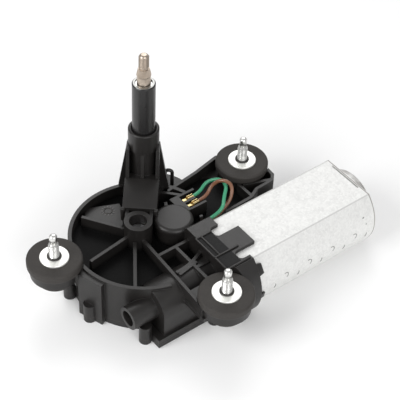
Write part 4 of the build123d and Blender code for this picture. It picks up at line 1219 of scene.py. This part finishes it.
@dataclass(frozen=True)
class TowerTrim:
    """Moulded trim of the tower: the rounded lip round the tube and the skin of the arm plate."""

    lip_r: float = 7.85
    lip_line: float = 1.12
    lip_z: float = 76.75
    lip_sunk: float = 0.5
    heading: float = math.radians(229.73)
    plate_along: Pair = (10.3, 29.5)
    plate_z: Pair = (47.6, 42.1)
    plate_half: float = 9.9
    skin: float = 0.9
    lug_r: float = 1.35
    lug_height: float = 9.0

    def lip(self) -> Piece:
        """Mould the rounded lip round the tube.

        Returns:
            The lip.
        """
        middle = (0.0, 0.0, self.lip_z)
        obj = add_ring("collar_lip", middle, self.lip_r, self.lip_line, (72, 16))
        cut_off(obj, (0.0, 0.0, self.lip_z - self.lip_sunk), DOWN)
        return obj

    def plan(self, along: float, across: float, z: float) -> Vector:
        """The place of a point given along the arm, to the arm's left and in height."""
        return Matrix.Rotation(self.heading, 3, "Z") @ Vector((along, across, z))

    def plate_skin(self) -> Piece:
        """Mould the face of the arm plate, its edges rounded.

        Returns:
            The face.
        """
        run = self.plate_along[1] - self.plate_along[0]
        fall = self.plate_z[0] - self.plate_z[1]
        middle = self.plan(sum(self.plate_along) / 2, 0.0, sum(self.plate_z) / 2 - self.skin * 0.2)
        size = (math.hypot(run, fall), 2 * self.plate_half, self.skin)
        turn = (0.0, math.atan2(fall, run), self.heading)
        obj = add_block("plate_skin", middle, size, turn)
        soften(obj, 0.42, segments=4)
        return obj

    def lugs(self) -> list[Piece]:
        """Set a round lug under each outer corner of the plate.

        Returns:
            The two lugs.
        """
        made = []
        along, across = self.plate_along[1] + 0.3, self.plate_half - 0.4
        for side in (-1, 1):
            x, y, z = self.plan(along, side * across, self.plate_z[1])
            stations = [
                (self.lug_r * 0.9, z - self.lug_height),
                (self.lug_r, z - 0.9),
                (self.lug_r * 0.85, z - 0.3),
                (self.lug_r * 0.5, z),
            ]
            made.append(turned("plate_lug", (x, y), stations, sides=24))
        return made

    def build(self) -> None:
        """Build the lip, the plate's skin and its lugs as one moulded trim."""
        parts = [self.lip(), self.plate_skin(), *self.lugs()]
        complete(parts, "tower_trim", Surface.NYLON, "housing_nylon")


@dataclass(frozen=True)
class VentArch:
    """A small moulded arch beside the tower's foot."""

    centre: Pair = (16.4, -2.6)
    foot_z: float = 25.1
    bend_z: float = 35.6
    bend_r: float = 2.1
    line_r: float = 1.1
    heading: float = math.radians(-39.0)

    def build(self) -> None:
        """Bend the arch's crown, then set its two legs under it."""
        x, y = self.centre
        place = (x, y, self.bend_z)
        turn = (math.pi / 2, 0.0, self.heading)
        parts = [add_ring("arch_crown", place, self.bend_r, self.line_r, (40, 16), turn)]
        cut_off(parts[0], place, DOWN)
        stations = [
            (self.line_r * 1.25, self.foot_z),
            (self.line_r, self.foot_z + 0.8),
            (self.line_r, self.bend_z),
        ]
        for side in (-self.bend_r, self.bend_r):
            foot = (x + side * math.cos(self.heading), y + side * math.sin(self.heading))
            parts.append(turned("arch_leg", foot, stations, sides=24))
        complete(parts, "vent_arch", Surface.NYLON, "housing_nylon")


@dataclass(frozen=True)
class RoofRibs:
    """Low ribs that part the roof of the motor collar into shallow pockets."""

    level: float = 40.7
    sunk: float = 0.2
    film: float = 0.08
    rib: float = 1.1
    rise: float = 0.9
    panel: tuple[float, float, float, float] = (-7.0, 3.8, -88.3, -59.8)
    across: tuple[float, ...] = (-59.9, -77.2, -88.1)
    along: tuple[float, ...] = (-7.0, -3.4)
    end_x: float = 9.4

    def build(self) -> None:
        """Lay a thin near-black sheet of painted shade in the pockets, then the ribs over it."""
        x0, x1, y0, y1 = self.panel
        low, high = self.level - self.sunk, self.level + self.rise
        # painted shade: a thin near-black sheet on the roof stands in for the shadow in the
        # pockets between the ribs
        floor = add_box("collar_painted_shade", (x0, y0, low), (x1, y1, self.level + self.film))
        dress(floor, Surface.SHADED)
        place_on(floor, Body.HOUSING, "housing_nylon")
        half = self.rib / 2
        ribs = []
        for y, end in zip(self.across, (x1, self.end_x, self.end_x)):
            corner, far = (x0 - half, y - half, low), (end, y + half, high)
            ribs.append(add_box("roof_rib_across", corner, far))
        for x, start in zip(self.along, (y0, self.across[1])):
            corner, far = (x - half, start, low), (x + half, y1, high)
            ribs.append(add_box("roof_rib_along", corner, far))
        for rib in ribs:
            soften(rib, 0.3)
        complete(ribs, "collar_roof_ribs", Surface.NYLON, "housing_nylon")


@dataclass(frozen=True)
class MouldMark:
    """A plain ring with ticks that the mould leaves on the sector step, painted lighter than the
    nylon as a painted highlight.
    """

    centre: Pair = (-27.0, -2.3)
    level: float = 28.4
    ring_r: float = 2.3
    line: float = 0.3
    ticks: int = 12
    tick: Pair = (2.9, 4.1)

    def build(self) -> None:
        """Build the ring, one tick and its copies round the ring."""
        x, y = self.centre
        place = (x, y, self.level)
        marks = [add_ring("mark_ring", place, self.ring_r, self.line, (40, 8))]
        low = (x + self.tick[0], y - self.line, self.level - 0.1)
        first = add_box("mark_tick", low, (x + self.tick[1], y + self.line, self.level + 0.2))
        for number in range(1, self.ticks):
            pick(first)
            bpy.ops.object.duplicate(linked=False)
            turn = number * 2 * math.pi / self.ticks
            bpy.ops.transform.rotate(value=turn, orient_axis="Z", center_override=scaled(place))
            marks.append(named("mark_tick_copy"))
        # painted highlight: the mark is lighter than the nylon round it, standing in for the light
        # its raised strokes catch
        complete([*marks, first], "mould_mark", Surface.SCUFFED, "housing_nylon")


# ---- studio
@dataclass(frozen=True)
class AreaLamp:
    """One soft square lamp aimed at the motor's middle."""

    name: str
    place: Point
    size: float
    power: float

    def build(self) -> None:
        """Hang the lamp and turn it towards the motor."""
        lamp = bpy.data.lights.new(self.name, "AREA")
        lamp.shape = "SQUARE"
        lamp.size = self.size
        lamp.energy = self.power
        obj = hold(self.name, lamp)
        obj.location = self.place
        aim = Vector(MOTOR_MIDDLE) - Vector(self.place)
        obj.rotation_euler = aim.to_track_quat("-Z", "Y").to_euler()


@dataclass(frozen=True)
class Studio:
    """White floor and background, soft lamps and the camera."""

    camera_place: Point = (-0.3301, -0.4588, 0.5732)
    yaw: float = -39.15
    pitch: float = 44.32
    roll: float = 2.52
    lens: float = 119.14
    floor_r: float = 0.8
    floor_z: float = -0.0002
    lamps: tuple[AreaLamp, ...] = (
        AreaLamp("key_lamp", (-0.95, 0.10, 0.75), 0.7, 8.0),
        AreaLamp("front_lamp", (-0.25, -1.15, 0.60), 0.8, 7.0),
        AreaLamp("sheen_lamp", (0.56, 0.70, 0.92), 0.8, 5.0),
    )
    ambient: float = 0.5

    def camera(self) -> None:
        """Stand the camera at its place with its yaw, pitch and roll in degrees."""
        yaw, pitch, roll = (math.radians(angle) for angle in (self.yaw, self.pitch, self.roll))
        aim = Euler((math.pi / 2 - pitch, 0.0, yaw)).to_matrix().to_4x4()
        data = bpy.data.cameras.new("camera")
        data.lens = self.lens
        data.sensor_width = 36.0
        data.clip_start = 0.01
        obj = hold("camera", data)
        stand = Matrix.Translation(self.camera_place)
        obj.matrix_world = stand @ aim @ Matrix.Rotation(roll, 4, "Z")
        bpy.context.scene.camera = obj

    def floor(self) -> None:
        """Lay a large pale floor just under the motor."""
        bpy.ops.mesh.primitive_circle_add(
            vertices=96, radius=self.floor_r, fill_type="NGON", location=(0.0, 0.0, self.floor_z)
        )
        floor = named("studio_floor")
        sheet = Sheet("floor_paper")
        cloud = sheet.noise(60.0, detail=2.0)
        tint = sheet.blend(cloud, (0.93, 0.93, 0.93), (0.95, 0.95, 0.95))
        sheet.shade(Base_Color=tint, Roughness=0.9)
        floor.data.materials.append(sheet.material)

    def world(self) -> None:
        """White to the camera, softer white to everything else."""
        world = bpy.data.worlds.new("studio_world")
        bpy.context.scene.world = world
        world.use_nodes = True
        nodes, links = world.node_tree.nodes, world.node_tree.links
        nodes.clear()
        output = nodes.new("ShaderNodeOutputWorld")
        path = nodes.new("ShaderNodeLightPath")
        choice = nodes.new("ShaderNodeMixShader")
        links.new(path.outputs["Is Camera Ray"], choice.inputs["Fac"])
        links.new(choice.outputs["Shader"], output.inputs["Surface"])
        for socket, strength in enumerate((self.ambient, 1.0), start=1):
            shade = nodes.new("ShaderNodeBackground")
            shade.inputs["Color"].default_value = (1.0, 1.0, 1.0, 1.0)
            shade.inputs["Strength"].default_value = strength
            links.new(shade.outputs["Background"], choice.inputs[socket])

    def build(self) -> None:
        """Set up the whole studio."""
        bpy.context.scene.view_settings.view_transform = "Standard"
        self.camera()
        self.floor()
        self.world()
        for lamp in self.lamps:
            lamp.build()
        LOG.info("studio: floor, world and %d lamps", len(self.lamps))


GREEN_ROUTE = (
    (17.4, -25.2, 33.6), (22.1, -25.2, 33.6), (29.1, -22.7, 37.2),
    (35.0, -28.6, 40.7), (33.4, -36.4, 41.7), (27.5, -41.4, 39.7),
    (24.3, -44.9, 35.5), (16.6, -44.9, 32.2), (10.5, -44.9, 32.2),
)
BROWN_ROUTE = (
    (17.4, -30.2, 33.6), (23.5, -30.2, 33.6), (28.7, -27.9, 38.1),
    (32.2, -32.2, 44.4), (35.8, -38.3, 43.5), (32.7, -42.1, 37.2),
    (25.7, -43.1, 31.1), (17.2, -43.1, 27.6), (10.5, -43.1, 27.6),
)


def main() -> None:
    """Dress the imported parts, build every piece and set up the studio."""
    logging.basicConfig(level=logging.INFO, format="%(message)s")
    for surface, nodes in CAD_SURFACES.items():
        for node in nodes:
            dress(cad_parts[node], surface)
        LOG.info("%s: %s", surface.value.name, ", ".join(nodes))
    for part in (
        MountingStuds(),
        OutputSpindle(),
        Wire("green_wire", Surface.GREEN, "green_insulation", 57.5, GREEN_ROUTE),
        Wire("brown_wire", Surface.BROWN, "brown_insulation", 58.0, BROWN_ROUTE),
        CrimpTerminals(),
        CoverScrews(),
        CanMarks(),
        CollarClips(),
        TowerTrim(),
        RoofRibs(),
        VentArch(),
        MouldMark(),
        Studio(),
    ):
        part.build()


if __name__ == "__main__":
    main()
